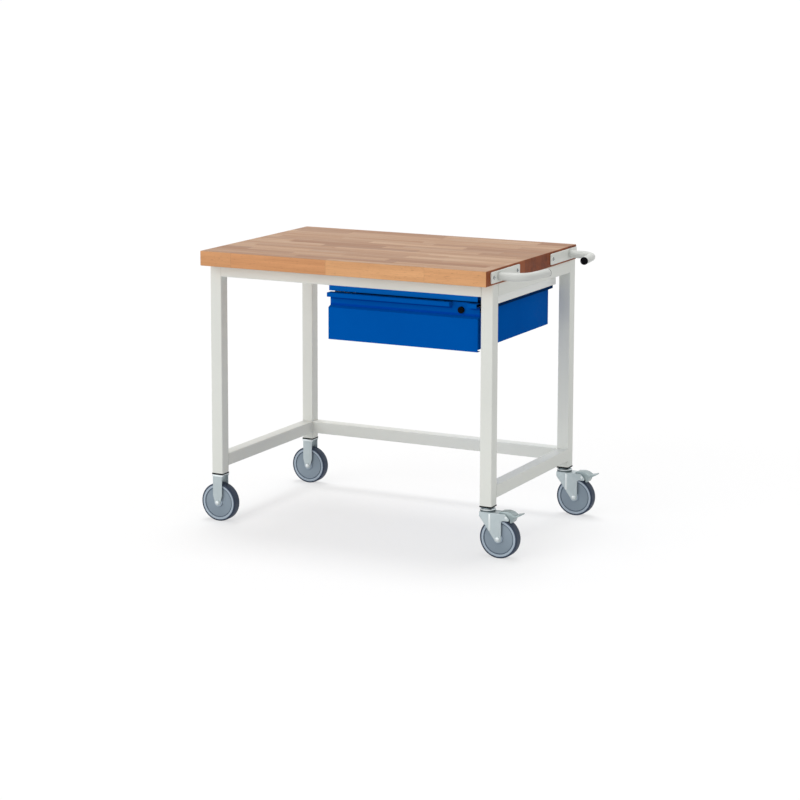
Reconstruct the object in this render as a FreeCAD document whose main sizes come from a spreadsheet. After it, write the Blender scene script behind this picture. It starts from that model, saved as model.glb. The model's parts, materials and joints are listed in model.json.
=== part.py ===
import FreeCAD, Part
import math
import os
import re
import Sketcher

# Mobile workbench: wooden top on a square tube frame, one hung drawer, two push handles, four casters.
# Millimetres. X runs along the bench, Y to its back, Z up. The floor is Z = 0.

SIZES = {
    # Worktop
    "top_length": 1000,
    "top_depth": 700,
    "top_thickness": 48,
    "top_height": 893,
    "top_edge_round": 2.5,
    # Square tube frame
    "tube_side": 40,
    "tube_wall": 2,
    "tube_round": 3,
    "leg_inset": 3,
    "front_overhang": 56,
    "lower_rail_rise": 60.5,
    # Plugs in the feet of the legs
    "plug_flange": 4.5,
    "plug_depth": 18,
    "plug_clearance": 0.3,
    # Tabs and wood screws under the top
    "tab_length": 40,
    "tab_reach": 34,
    "tab_plate": 3,
    "tab_spread": 640,
    "wood_screw_radius": 2.5,
    "wood_screw_length": 33,
    "screw_head_radius": 5.5,
    "screw_head_height": 3,
    # Push handles on the right end
    "handle_plate_length": 210,
    "handle_plate_height": 40,
    "handle_plate_thickness": 4,
    "handle_plate_round": 5,
    "handle_front_inset": 30,
    "handle_rear_inset": 6,
    "handle_screw_edge": 18,
    "handle_tube_radius": 12.5,
    "handle_tube_wall": 2,
    "handle_root_edge": 55,
    "handle_stub": 36,
    "handle_bend_radius": 55,
    "handle_bend_angle": 82,
    "handle_run": 85,
    "cap_rim": 3,
    "cap_plug_length": 12,
    "cap_clearance": 0.2,
    # Wheels
    "wheel_diameter": 125,
    "wheel_width": 32,
    "tyre_thickness": 5.5,
    "tyre_round": 4,
    "rim_depth": 9,
    "rim_slope": 2,
    "rim_inset": 1,
    "disc_thickness": 26,
    "hub_radius": 14,
    "hub_clearance": 0.3,
    "running_clearance": 0.06,
    # Caster forks
    "wheel_gap": 2.5,
    "wheel_top_gap": 14,
    "fork_plate": 3,
    "axle_radius": 4,
    "axle_head_radius": 7,
    "axle_head_height": 5,
    "hole_clearance": 0.1,
    "fixed_fork_width": 34,
    "fixed_taper_height": 24,
    "fixed_collar_width": 40,
    "fixed_collar_height": 6,
    "fixed_boss_radius": 10,
    "caster_bolt_radius": 5,
    "caster_bolt_head_radius": 8.5,
    "caster_bolt_head_height": 5,
    # Swivel heads and forks
    "head_radius": 25,
    "head_bevel": 5,
    "head_height": 8,
    "race_radius": 12,
    "race_end": 0.4,
    "ring_gap": 0.4,
    "washer_gap": 3.5,
    "washer_thickness": 2,
    "ball_radius": 1.9,
    "ball_play": 0.2,
    "ball_lift": 0.1,
    "ball_head_gap": 1.1,
    "swivel_trail": 42,
    "swivel_boss_radius": 11,
    "fork_front_reach": 20,
    "fork_front_drop": 14,
    "crown_pin_gap": 8,
    "ear_pin_reach": 9,
    "ear_pin_wall": 1,
    "ear_top_drop": 6,
    "ear_height": 15,
    "ear_slope_gap": 4,
    "ear_tip_drop": 14,
    # Brake pedals
    "pedal_clearance": 0.6,
    "pedal_pin_back": 28,
    "pedal_pin_radius": 3,
    "pedal_pin_head_radius": 4.5,
    "pedal_pin_head_height": 2,
    "pedal_blade": 47.5,
    "pedal_plate": 3,
    "pedal_tip_round": 8,
    "pedal_heel_drop": 4.5,
    "pedal_heel_back": 6,
    "pedal_nose_reach": 25,
    "pedal_nose_rise": 15,
    "pedal_crest_rise": 17.5,
    "pedal_brow_reach": 15.5,
    "pedal_brow_rise": 13.3,
    "pedal_knee_rise": 7,
    "pedal_knee_drop": 0.8,
    "pedal_tip_rise": 13.2,
    "shoe_drop": 16.2,
    "shoe_front": 6.95,
    "shoe_back": 12.35,
    "shoe_root": 12.95,
    "shoe_root_drop": 6.6,
    # Drawer front
    "drawer_side_gap": 10,
    "drawer_top_gap": 5.4,
    "drawer_width": 514,
    "drawer_front_height": 149,
    "grip_slope_height": 6,
    "grip_recess_depth": 14,
    "grip_lip_height": 13.5,
    "grip_lip_reach": 10,
    "return_gap": 2.5,
    "sheet_wall": 1.5,
    "corner_relief": 10,
    # Drawer tray
    "tray_side_step": 16,
    "tray_back_gap": 26,
    "tray_lock_gap": 2.1,
    "tray_drop": 25.1,
    "tray_flange": 11,
    "glide_length": 60,
    "glide_inset": 6,
    "slide_clearance": 0.3,
    # Runners, hangers and front strip
    "runner_height": 10.5,
    "runner_wall": 1.5,
    "runner_flange_rise": 4,
    "runner_front_gap": 2,
    "runner_overrun": 5,
    "hanger_wall": 2,
    "hanger_flange": 22,
    "hanger_screw_spread": 400,
    "strip_height": 16,
    "strip_depth": 34,
    "strip_setback": 2,
    "strip_end_gap": 2,
    # Drawer lock
    "lock_edge": 61,
    "lock_lip_gap": 0.4,
    "lock_sill_gap": 6.7,
    "lock_flange_rim": 1.5,
    "lock_flange_height": 7,
    "lock_body_radius": 9,
    "lock_nut_rim": 3.5,
    "lock_nut_height": 4,
    "lock_plug_radius": 5.5,
    "lock_plug_proud": 0.6,
    "lock_plug_tail": 6,
    "key_slot_width": 1.4,
    "key_slot_length": 7,
    "key_slot_depth": 3,
    "cam_catch": 8.2,
    "cam_strip_gap": 2,
    "cam_eye_rim": 3.3,
    "cam_width": 12,
    "cam_plate": 2,
    "cam_gap": 0.4,
    "lip_notch_width": 61,
    # Hidden overrun of every cut
    "cut_overrun": 2,
}

BALL_COUNT = 18

# Shares of a size
FOLD_SHARE = 0.66
TREAD_ROUND_SHARE = 0.8

# Places worked out from the sizes; bench places are measured from the middle of the worktop
PLACES = {
    "frame_top": "top_height - top_thickness",
    "leg_x": "top_length / 2 - leg_inset - tube_side / 2",
    "leg_front_y": "front_overhang + tube_side / 2 - top_depth / 2",
    "leg_back_y": "top_depth / 2 - tube_side / 2",
    "cross_rail_length": "2 * leg_x - tube_side",
    "side_rail_length": "leg_back_y - leg_front_y - tube_side",
    "side_rail_middle": "(leg_front_y + leg_back_y) / 2",
    "top_rail_z": "frame_top - tube_side / 2",
    "crown_gap": "2 * ball_radius + ball_lift + ball_head_gap",
    "caster_top": "wheel_diameter + wheel_top_gap + fork_plate + crown_gap + head_height",
    "foot_height": "caster_top + plug_flange",
    "lower_rail_z": "foot_height + lower_rail_rise - tube_side / 2",
    "axle_height": "wheel_diameter / 2",
    "wheel_radius": "wheel_diameter / 2",
    "tyre_inner": "wheel_radius - tyre_thickness",
    "fork_inner": "wheel_width + 2 * wheel_gap",
    "fork_outer": "fork_inner + 2 * fork_plate",
    "axle_length": "fork_outer + axle_head_height",
    "head_bottom": "caster_top - head_height",
    "crown_top": "head_bottom - crown_gap",
    "crown_bottom": "crown_top - fork_plate",
    "race_bottom": "crown_bottom - race_end",
    "washer_bottom": "race_bottom - washer_thickness",
    "washer_radius": "fork_inner / 2 - washer_gap",
    "ring_inner_radius": "race_radius + 2 * (ball_radius + ball_play)",
    "pedal_pin_x": "swivel_trail + pedal_pin_back",
    "pedal_pin_z": "crown_top - ear_top_drop - pedal_pin_radius - ear_pin_wall",
    "fork_crown_reach": "pedal_pin_x - crown_pin_gap",
    "ear_reach": "pedal_pin_x + ear_pin_reach",
    "pedal_reach": "pedal_pin_x + pedal_blade",
    "handle_z": "top_height - top_thickness / 2",
    "handle_face": "top_length / 2 + handle_plate_thickness",
    "handle_middle_back": "(handle_front_inset - handle_rear_inset) / 2",
    "handle_outer_offset": "(top_depth - handle_front_inset - handle_rear_inset) / 2",
    "handle_plate_offset": "handle_outer_offset - handle_plate_length",
    "handle_root_offset": "handle_outer_offset - handle_root_edge",
    "tube_end_x": "handle_face + handle_stub + handle_bend_radius * sin(handle_bend_angle)"
                  " + handle_run * cos(handle_bend_angle)",
    "tube_end_turn": "handle_bend_radius * (1 - cos(handle_bend_angle))"
                     " + handle_run * sin(handle_bend_angle)",
    "left_reach": "leg_x + wheel_radius",
    "right_reach": "tube_end_x + cap_rim / 2 * cos(handle_bend_angle)"
                   " + handle_tube_radius * sin(handle_bend_angle)",
    "back_reach": "max(top_depth / 2; leg_back_y + fork_outer / 2 + axle_head_height)",
    "shift_x": "(left_reach - right_reach) / 2",
    "shift_y": "(top_depth / 2 - back_reach) / 2",
    "drawer_centre": "leg_x - tube_side / 2 - drawer_side_gap - drawer_width / 2",
    "drawer_drop": "tube_side + strip_height + drawer_top_gap",
    "drawer_bottom": "frame_top - drawer_drop - drawer_front_height",
    "drawer_face_y": "leg_front_y - tube_side / 2",
    "drawer_face_height": "recess_top - recess_height - grip_slope_height",
    "recess_height": "2 * lock_flange_radius + lock_lip_gap + lock_sill_gap",
    "front_return": "grip_recess_depth + sheet_wall + return_gap",
    "tray_front_y": "drawer_face_y + front_return",
    "tray_half": "drawer_width / 2 - tray_side_step",
    "tray_depth": "leg_back_y - tube_side / 2 - tray_front_y - tray_back_gap",
    "tray_side_height": "drawer_front_height - tray_drop",
    "tray_end_height": "lock_height - lock_nut_radius - tray_lock_gap",
    "recess_top": "drawer_front_height - grip_lip_height",
    "tray_top": "drawer_bottom + tray_side_height",
    "runner_bottom": "tray_top - sheet_wall - runner_flange_rise",
    "runner_top": "runner_bottom + runner_height",
    "runner_reach": "tray_flange + runner_wall",
    "runner_face": "tray_half + slide_clearance + runner_reach",
    "runner_length": "tray_depth + runner_overrun",
    "lock_flange_radius": "lock_body_radius + lock_flange_rim",
    "lock_nut_radius": "lock_body_radius + lock_nut_rim",
    "lock_body_length": "strip_setback + strip_depth - grip_recess_depth + cam_strip_gap",
    "lock_height": "recess_top - lock_lip_gap - lock_flange_radius",
    "lock_x": "drawer_centre + drawer_width / 2 - lock_edge",
    "lock_z": "drawer_bottom + lock_height",
    "cam_length": "drawer_top_gap + drawer_front_height - lock_height + cam_catch",
    "recess_y": "drawer_face_y + grip_recess_depth",
    "plug_end_y": "recess_y + lock_body_length + lock_plug_tail",
}


document = FreeCAD.newDocument("mobile_workbench")
sheet = document.addObject("Spreadsheet::Sheet", "Sizes")
for row, (alias, size) in enumerate(SIZES.items(), start=1):
    sheet.set("A%d" % row, alias)
    sheet.set("B%d" % row, str(size))
    sheet.setAlias("B%d" % row, alias)
document.recompute()

pieces = []


def bound(text):
    """Turn named sizes and places into an expression on the sheet."""
    def swap(match):
        word = match.group()
        if word in SIZES:
            return "Sizes." + word
        if word in PLACES:
            return "(" + bound(PLACES[word]) + ")"
        return word
    return re.sub(r"[a-z_]+", swap, text)


def measure(text):
    """The number that an expression gives now."""
    return float(sheet.evalExpression(bound(text)))


def keep(thing):
    """Count an object as a finished piece of the bench."""
    pieces.append(thing)
    return thing


def place(thing, x, y, z):
    """Set a piece at a bench place, with the whole bench centred on its own box."""
    thing.setExpression("Placement.Base.x", bound(x + " + shift_x"))
    thing.setExpression("Placement.Base.y", bound(y + " + shift_y"))
    thing.setExpression("Placement.Base.z", bound(z))
    return thing


def box(name, low, size):
    """A block from its low corner."""
    block = document.addObject("Part::Box", name)
    block.setExpression("Length", bound(size[0]))
    block.setExpression("Width", bound(size[1]))
    block.setExpression("Height", bound(size[2]))
    return place(block, *low)


def rod(name, start, turn, radius, length):
    """A cylinder from the centre of its first end, turned from +Z by a rotation."""
    cylinder = document.addObject("Part::Cylinder", name)
    cylinder.Placement = FreeCAD.Placement(FreeCAD.Vector(0, 0, 0), turn)
    cylinder.setExpression("Radius", bound(radius))
    cylinder.setExpression("Height", bound(length))
    return place(cylinder, *start)


def hexagon(name, start, turn, radius, length):
    """A bolt head or nut from the centre of its first face."""
    prism = document.addObject("Part::Prism", name)
    prism.Polygon = 6
    prism.Placement = FreeCAD.Placement(FreeCAD.Vector(0, 0, 0), turn)
    prism.setExpression("Circumradius", bound(radius))
    prism.setExpression("Height", bound(length))
    return place(prism, *start)


ALONG_Z = FreeCAD.Rotation()
ALONG_Y = FreeCAD.Rotation(FreeCAD.Vector(1, 0, 0), -90)
ALONG_X_IN = FreeCAD.Rotation(FreeCAD.Vector(0, 1, 0), -90)
HALF_TURN_X = FreeCAD.Rotation(FreeCAD.Vector(1, 0, 0), 180)


def cut(name, base, tool):
    """Take one shape from another."""
    result = document.addObject("Part::Cut", name)
    result.Base = base
    result.Tool = tool
    return result


def fuse(name, shapes):
    """Join shapes into one solid."""
    result = document.addObject("Part::MultiFuse", name)
    result.Shapes = shapes
    return result


def group(name, shapes):
    """Several like solids that share one name."""
    result = document.addObject("Part::Compound", name)
    result.Links = shapes
    return result


def sketch_on(body, role):
    """A sketch on one of the body's own origin planes."""
    sketch = body.newObject("Sketcher::SketchObject", body.Name + "_sketch")
    plane = [feature for feature in body.Origin.OriginFeatures if feature.Role == role][0]
    sketch.AttachmentSupport = [(plane, "")]
    sketch.MapMode = "FlatFace"
    return sketch


def pin_point(sketch, line, end, point):
    """Bind one end of a line to a named place in the sketch."""
    for kind, text in zip(("DistanceX", "DistanceY"), point):
        number = sketch.addConstraint(Sketcher.Constraint(kind, -1, 1, line, end, measure(text)))
        sketch.setExpression("Constraints[%d]" % number, bound(text))


def polygon(sketch, points):
    """A closed outline through named places."""
    first = sketch.GeometryCount
    corners = [FreeCAD.Vector(measure(point[0]), measure(point[1]), 0) for point in points]
    count = len(corners)
    for index in range(count):
        sketch.addGeometry(Part.LineSegment(corners[index], corners[(index + 1) % count]))
    for index in range(count):
        following = first + (index + 1) % count
        sketch.addConstraint(Sketcher.Constraint("Coincident", first + index, 2, following, 1))
    for index, point in enumerate(points):
        pin_point(sketch, first + index, 1, point)


def rectangle(sketch, low, high):
    """A closed rectangle between two named corners."""
    polygon(sketch, [low, (high[0], low[1]), high, (low[0], high[1])])


def circle(sketch, centre, radius):
    """A full circle about a named place."""
    middle = FreeCAD.Vector(measure(centre[0]), measure(centre[1]), 0)
    number = sketch.addGeometry(Part.Circle(middle, FreeCAD.Vector(0, 0, 1), measure(radius)))
    pin_point(sketch, number, 3, centre)
    size = sketch.addConstraint(Sketcher.Constraint("Radius", number, measure(radius)))
    sketch.setExpression("Constraints[%d]" % size, bound(radius))


def pad(body, sketch, length):
    """Thicken a sketch evenly to both sides of its plane."""
    feature = body.newObject("PartDesign::Pad", body.Name + "_pad")
    feature.Profile = sketch
    feature.SideType = "Symmetric"
    feature.setExpression("Length", bound(length))
    document.recompute()
    return feature


def pocket(body, sketch, length):
    """Cut a sketch evenly to both sides of its plane."""
    before = body.Shape.Volume
    feature = body.newObject("PartDesign::Pocket", body.Name + "_pocket")
    feature.Profile = sketch
    feature.SideType = "Symmetric"
    feature.setExpression("Length", bound(length))
    document.recompute()
    if not body.Shape.Volume < before:
        raise RuntimeError("pocket cut nothing in " + body.Label)
    return feature


def revolve(body, sketch):
    """Turn a sketch once round its own vertical axis."""
    feature = body.newObject("PartDesign::Revolution", body.Name + "_turned")
    feature.Profile = sketch
    feature.ReferenceAxis = (sketch, ["V_Axis"])
    feature.Angle = 360
    document.recompute()
    return feature


def round_edges(body, feature, test, radius):
    """Round the edges of a feature that pass a test."""
    names = ["Edge%d" % (index + 1) for index, edge in enumerate(feature.Shape.Edges) if test(edge)]
    if not names:
        raise RuntimeError("no edge to round in " + body.Label)
    rounding = body.newObject("PartDesign::Fillet", body.Name + "_round")
    rounding.Base = (feature, names)
    rounding.setExpression("Radius", bound(radius))
    document.recompute()
    return rounding


def runs_along(edge, axis):
    """Whether a straight edge lies along X, Y or Z."""
    if edge.Curve.TypeId != "Part::GeomLine":
        return False
    return abs(edge.Curve.Direction[axis]) > math.cos(math.radians(1))


# Frame tubes
def square_tube(name, axis, length, x, y, z):
    """A square tube, centred on its place and lying along X, Y or Z."""
    body = document.addObject("PartDesign::Body", name)
    sketch = sketch_on(body, ("YZ_Plane", "XZ_Plane", "XY_Plane")[axis])
    outer = "tube_side / 2"
    inner = "tube_side / 2 - tube_wall"
    rectangle(sketch, ("-" + outer, "-" + outer), (outer, outer))
    rectangle(sketch, ("-(%s)" % inner, "-(%s)" % inner), (inner, inner))
    feature = pad(body, sketch, length)
    corner = measure("tube_side - tube_wall") / math.sqrt(2)

    def is_outer_corner(edge):
        middle = edge.CenterOfMass
        middle[axis] = 0
        return runs_along(edge, axis) and middle.Length > corner

    round_edges(body, feature, is_outer_corner, "tube_round")
    return keep(place(body, x, y, z))


SIDES = {"left": "-leg_x", "right": "leg_x"}
ENDS = {"front": "leg_front_y", "back": "leg_back_y"}

for end, end_y in ENDS.items():
    for side, side_x in SIDES.items():
        square_tube("leg_%s_%s" % (end, side), 2, "frame_top - foot_height",
                    side_x, end_y, "(frame_top + foot_height) / 2")
    square_tube("top_rail_" + end, 0, "cross_rail_length", "0", end_y, "top_rail_z")
for side, side_x in SIDES.items():
    square_tube("top_rail_" + side, 1, "side_rail_length", side_x, "side_rail_middle", "top_rail_z")
    square_tube("lower_rail_" + side, 1, "side_rail_length", side_x, "side_rail_middle", "lower_rail_z")
square_tube("lower_rail_back", 0, "cross_rail_length", "0", "leg_back_y", "lower_rail_z")


# Plugs that close the legs and hold the caster bolts
def leg_plug(name, x, y):
    """A flange under the leg with a boss inside the tube, bored for the caster bolt."""
    boss_half = "(tube_side / 2 - tube_wall - plug_clearance)"
    flange = box(name + "_flange", (x + " - tube_side / 2", y + " - tube_side / 2", "caster_top"),
                 ("tube_side", "tube_side", "plug_flange"))
    boss = box(name + "_boss", (x + " - " + boss_half, y + " - " + boss_half, "foot_height"),
               ("2 * " + boss_half, "2 * " + boss_half, "plug_depth"))
    bore = rod(name + "_bore", (x, y, "caster_top - cut_overrun"), ALONG_Z, "caster_bolt_radius",
               "plug_flange + plug_depth + 2 * cut_overrun")
    return cut(name, fuse(name + "_solid", [flange, boss]), bore)


keep(group("leg_plugs", [leg_plug("plug_%s_%s" % (end, side), side_x, end_y)
                         for end, end_y in ENDS.items() for side, side_x in SIDES.items()]))


# Worktop with its pilot holes, and what screws to it
def wood_screw(name, head_start, start, turn, plate):
    """A wood screw from the start of its head and from the plate's outer face, under which the head lies."""
    head = rod(name + "_head", head_start, turn, "screw_head_radius", "screw_head_height")
    shank = rod(name + "_shank", start, turn, "wood_screw_radius", plate + " + wood_screw_length")
    return fuse(name, [head, shank])


def pilot_hole(name, start, turn, plate):
    """The hole that a wood screw fills."""
    return rod(name, start, turn, "wood_screw_radius", plate + " + wood_screw_length")


HANDS = {"front": "-1", "rear": "1"}
HANGERS = {"left": "-1", "right": "1"}

top_screw_places = []
tabs = []
TAB_ENDS = {"front": "leg_front_y + tube_side / 2", "back": "leg_back_y - tube_side / 2 - tab_reach"}
for end, low_y in TAB_ENDS.items():
    for side, hand in HANGERS.items():
        screw_x = "%s * tab_spread / 2" % hand
        screw_y = low_y + " + tab_reach / 2"
        name = "tab_%s_%s" % (end, side)
        plate = box(name + "_plate", (screw_x + " - tab_length / 2", low_y, "frame_top - tab_plate"),
                    ("tab_length", "tab_reach", "tab_plate"))
        top_screw_places.append((name, screw_x, screw_y, "tab_plate"))
        drill = rod(name + "_drill", (screw_x, screw_y, "frame_top - tab_plate"), ALONG_Z,
                    "wood_screw_radius + hole_clearance", "tab_plate")
        tabs.append(cut(name, plate, drill))
keep(group("top_tabs", tabs))

for side, hand in HANGERS.items():
    screw_x = "drawer_centre + %s * (runner_face + hanger_wall - hanger_flange / 2)" % hand
    for end, step in (("front", "-1"), ("back", "1")):
        screw_y = "side_rail_middle + %s * hanger_screw_spread / 2" % step
        top_screw_places.append(("hanger_%s_%s" % (side, end), screw_x, screw_y, "hanger_wall"))

handle_screw_places = []
HANDLE_SCREWS = {"inner": "handle_screw_edge", "outer": "handle_plate_length - handle_screw_edge"}
for hand_name, hand in HANDS.items():
    for part_name, inset in HANDLE_SCREWS.items():
        screw_y = "handle_middle_back + %s * (handle_plate_offset + %s)" % (hand, inset)
        handle_screw_places.append(("handle_%s_%s" % (hand_name, part_name), screw_y))

top_screws = []
pilots = []
for name, x, y, plate in top_screw_places:
    start = (x, y, "frame_top - " + plate)
    head_start = (x, y, "frame_top - screw_head_height - " + plate)
    top_screws.append(wood_screw(name + "_screw", head_start, start, ALONG_Z, plate))
    pilots.append(pilot_hole(name + "_pilot", start, ALONG_Z, plate))
keep(group("top_screws", top_screws))

handle_screws = []
for name, y in handle_screw_places:
    start = ("handle_face", y, "handle_z")
    head_start = ("handle_face + screw_head_height", y, "handle_z")
    handle_screws.append(wood_screw(name + "_screw", head_start, start, ALONG_X_IN, "handle_plate_thickness"))
    pilots.append(pilot_hole(name + "_pilot", start, ALONG_X_IN, "handle_plate_thickness"))
keep(group("handle_screws", handle_screws))

blank = document.addObject("PartDesign::Body", "worktop_blank")
blank_sketch = sketch_on(blank, "XY_Plane")
rectangle(blank_sketch, ("-top_length / 2", "-top_depth / 2"), ("top_length / 2", "top_depth / 2"))
blank_pad = pad(blank, blank_sketch, "top_thickness")
round_edges(blank, blank_pad, lambda edge: True, "top_edge_round")
place(blank, "0", "0", "top_height - top_thickness / 2")
keep(cut("worktop", blank, group("worktop_pilots", pilots)))


# Push handles
def handle_plate(hand_name, hand):
    """A flat plate on the end of the worktop, with rounded corners and two screw holes."""
    name = "handle_plate_" + hand_name
    body = document.addObject("PartDesign::Body", name)
    sketch = sketch_on(body, "YZ_Plane")
    rectangle(sketch, ("-handle_plate_length / 2", "-handle_plate_height / 2"),
              ("handle_plate_length / 2", "handle_plate_height / 2"))
    feature = pad(body, sketch, "handle_plate_thickness")
    round_edges(body, feature, lambda edge: runs_along(edge, 0), "handle_plate_round")
    drills = sketch_on(body, "YZ_Plane")
    for step in ("-1", "1"):
        circle(drills, (step + " * (handle_plate_length / 2 - handle_screw_edge)", "0"),
               "wood_screw_radius + hole_clearance")
    pocket(body, drills, "handle_plate_thickness + cut_overrun")
    middle = "handle_middle_back + %s * (handle_plate_offset + handle_plate_length / 2)" % hand
    return keep(place(body, "top_length / 2 + handle_plate_thickness / 2", middle, "handle_z"))


def handle_tube(hand_name, hand):
    """A round tube that leaves its plate squarely and bends towards the middle of the bench."""
    name = "handle_tube_" + hand_name
    body = document.addObject("PartDesign::Body", name)
    path = sketch_on(body, "XY_Plane")
    stub = measure("handle_stub")
    bend = measure("handle_bend_radius")
    angle = math.radians(measure("handle_bend_angle"))
    bend_start = FreeCAD.Vector(stub, 0, 0)
    bend_end = FreeCAD.Vector(stub + bend * math.sin(angle), bend * (1 - math.cos(angle)), 0)
    run = FreeCAD.Vector(math.cos(angle), math.sin(angle), 0) * measure("handle_run")
    half = angle / 2
    bend_middle = FreeCAD.Vector(stub + bend * math.sin(half), bend * (1 - math.cos(half)), 0)
    stub_line = path.addGeometry(Part.LineSegment(FreeCAD.Vector(0, 0, 0), bend_start))
    bend_arc = path.addGeometry(Part.Arc(bend_start, bend_middle, bend_end))
    run_line = path.addGeometry(Part.LineSegment(bend_end, bend_end + run))
    path.addConstraint(Sketcher.Constraint("Coincident", stub_line, 1, -1, 1))
    path.addConstraint(Sketcher.Constraint("Horizontal", stub_line))
    path.addConstraint(Sketcher.Constraint("Tangent", stub_line, 2, bend_arc, 1))
    path.addConstraint(Sketcher.Constraint("Tangent", bend_arc, 2, run_line, 1))
    for kind, line, text in (("Distance", stub_line, "handle_stub"),
                             ("Radius", bend_arc, "handle_bend_radius"),
                             ("Distance", run_line, "handle_run")):
        number = path.addConstraint(Sketcher.Constraint(kind, line, measure(text)))
        path.setExpression("Constraints[%d]" % number, bound(text))
    turn = path.addConstraint(Sketcher.Constraint("Angle", run_line, angle))
    path.setExpression("Constraints[%d]" % turn, bound("handle_bend_angle") + " * 1 deg")
    ring = sketch_on(body, "YZ_Plane")
    circle(ring, ("0", "0"), "handle_tube_radius")
    circle(ring, ("0", "0"), "handle_tube_radius - handle_tube_wall")
    pipe = body.newObject("PartDesign::AdditivePipe", name + "_pipe")
    pipe.Profile = ring
    pipe.Spine = (path, [])
    if hand_name == "rear":
        body.Placement = FreeCAD.Placement(FreeCAD.Vector(0, 0, 0), HALF_TURN_X)
    document.recompute()
    return keep(place(body, "handle_face", "handle_middle_back + %s * handle_root_offset" % hand, "handle_z"))


def handle_cap(hand_name, hand):
    """A push-in cap that closes the free end of a handle tube."""
    body = document.addObject("PartDesign::Body", "cap_" + hand_name)
    sketch = sketch_on(body, "XY_Plane")
    plug = "handle_tube_radius - handle_tube_wall - cap_clearance"
    polygon(sketch, [("0", "-cap_plug_length"), (plug, "-cap_plug_length"), (plug, "0"),
                     ("handle_tube_radius", "0"), ("handle_tube_radius", "cap_rim / 2"),
                     ("handle_tube_radius - cap_rim / 2", "cap_rim"), ("0", "cap_rim")])
    revolve(body, sketch)
    swing = measure("handle_bend_angle") - 90
    turn = FreeCAD.Rotation(FreeCAD.Vector(0, 0, 1), swing)
    if hand_name == "rear":
        turn = HALF_TURN_X.multiply(turn)
    body.Placement = FreeCAD.Placement(FreeCAD.Vector(0, 0, 0), turn)
    end_y = "handle_middle_back + %s * (handle_root_offset - tube_end_turn)" % hand
    return place(body, "tube_end_x", end_y, "handle_z")


for hand_name, hand in HANDS.items():
    handle_plate(hand_name, hand)
    handle_tube(hand_name, hand)
keep(group("handle_caps", [handle_cap(hand_name, hand) for hand_name, hand in HANDS.items()]))


# Wheels: a moulded hub inside a tyre, turning on its axle
def wheel(name, x, y):
    """One caster wheel as a hub and a tyre, both turned about the axle."""
    hub_half = "fork_inner / 2 - hub_clearance"
    disc_half = "disc_thickness / 2"
    rim_half = "wheel_width / 2 - rim_inset"
    rim_inner = "tyre_inner - rim_depth"
    outline = [("axle_radius + running_clearance", hub_half), ("hub_radius", hub_half),
               ("hub_radius", disc_half), (rim_inner + " - rim_slope", disc_half), (rim_inner, rim_half),
               ("tyre_inner", rim_half)]
    mirrored = [(radius, "-(%s)" % across) for radius, across in outline]
    hub = document.addObject("PartDesign::Body", "wheel_hub_" + name)
    hub_sketch = sketch_on(hub, "XY_Plane")
    polygon(hub_sketch, mirrored + outline[::-1])
    revolve(hub, hub_sketch)
    keep(place(hub, x, y, "axle_height"))
    tyre = document.addObject("PartDesign::Body", "tyre_" + name)
    tyre_sketch = sketch_on(tyre, "XY_Plane")
    rectangle(tyre_sketch, ("tyre_inner", "-wheel_width / 2"), ("wheel_radius", "wheel_width / 2"))
    tread = revolve(tyre, tyre_sketch)
    outer = measure("tyre_inner + wheel_radius") / 2

    def is_tread_edge(edge):
        return edge.Curve.TypeId == "Part::GeomCircle" and edge.Curve.Radius > outer

    round_edges(tyre, tread, is_tread_edge, "min(tyre_round; %s * tyre_thickness)" % TREAD_ROUND_SHARE)
    keep(place(tyre, x, y, "axle_height"))


def axle(name, x, y):
    """An axle bolt through a fork, its head at the front and its nut at the back."""
    head = hexagon(name + "_head", (x, y + " - fork_outer / 2 - axle_head_height", "axle_height"), ALONG_Y,
                   "axle_head_radius", "axle_head_height")
    shank = rod(name + "_shank", (x, y + " - fork_outer / 2", "axle_height"), ALONG_Y,
                "axle_radius", "axle_length")
    nut = hexagon(name + "_nut_blank", (x, y + " + fork_outer / 2", "axle_height"), ALONG_Y,
                  "axle_head_radius", "axle_head_height")
    thread = rod(name + "_thread", (x, y + " + fork_outer / 2", "axle_height"), ALONG_Y,
                 "axle_radius", "axle_head_height")
    return [fuse(name + "_bolt", [head, shank]), cut(name + "_nut", nut, thread)]


def caster_bolt(name, x, y, seat, washer):
    """The bolt that holds a caster up in its leg plug, with a washer under a swivel race."""
    head = hexagon(name + "_head", (x, y, seat + " - caster_bolt_head_height"), ALONG_Z,
                   "caster_bolt_head_radius", "caster_bolt_head_height")
    shank = rod(name + "_shank", (x, y, seat), ALONG_Z, "caster_bolt_radius",
                "foot_height + plug_depth - (%s)" % seat)
    solids = [fuse(name, [head, shank])]
    if washer:
        disc = rod(name + "_washer_blank", (x, y, "washer_bottom"), ALONG_Z, "washer_radius",
                   "washer_thickness")
        bore = rod(name + "_washer_bore", (x, y, "washer_bottom"), ALONG_Z, "caster_bolt_radius",
                   "washer_thickness")
        solids.append(cut(name + "_washer", disc, bore))
    return solids


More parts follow.
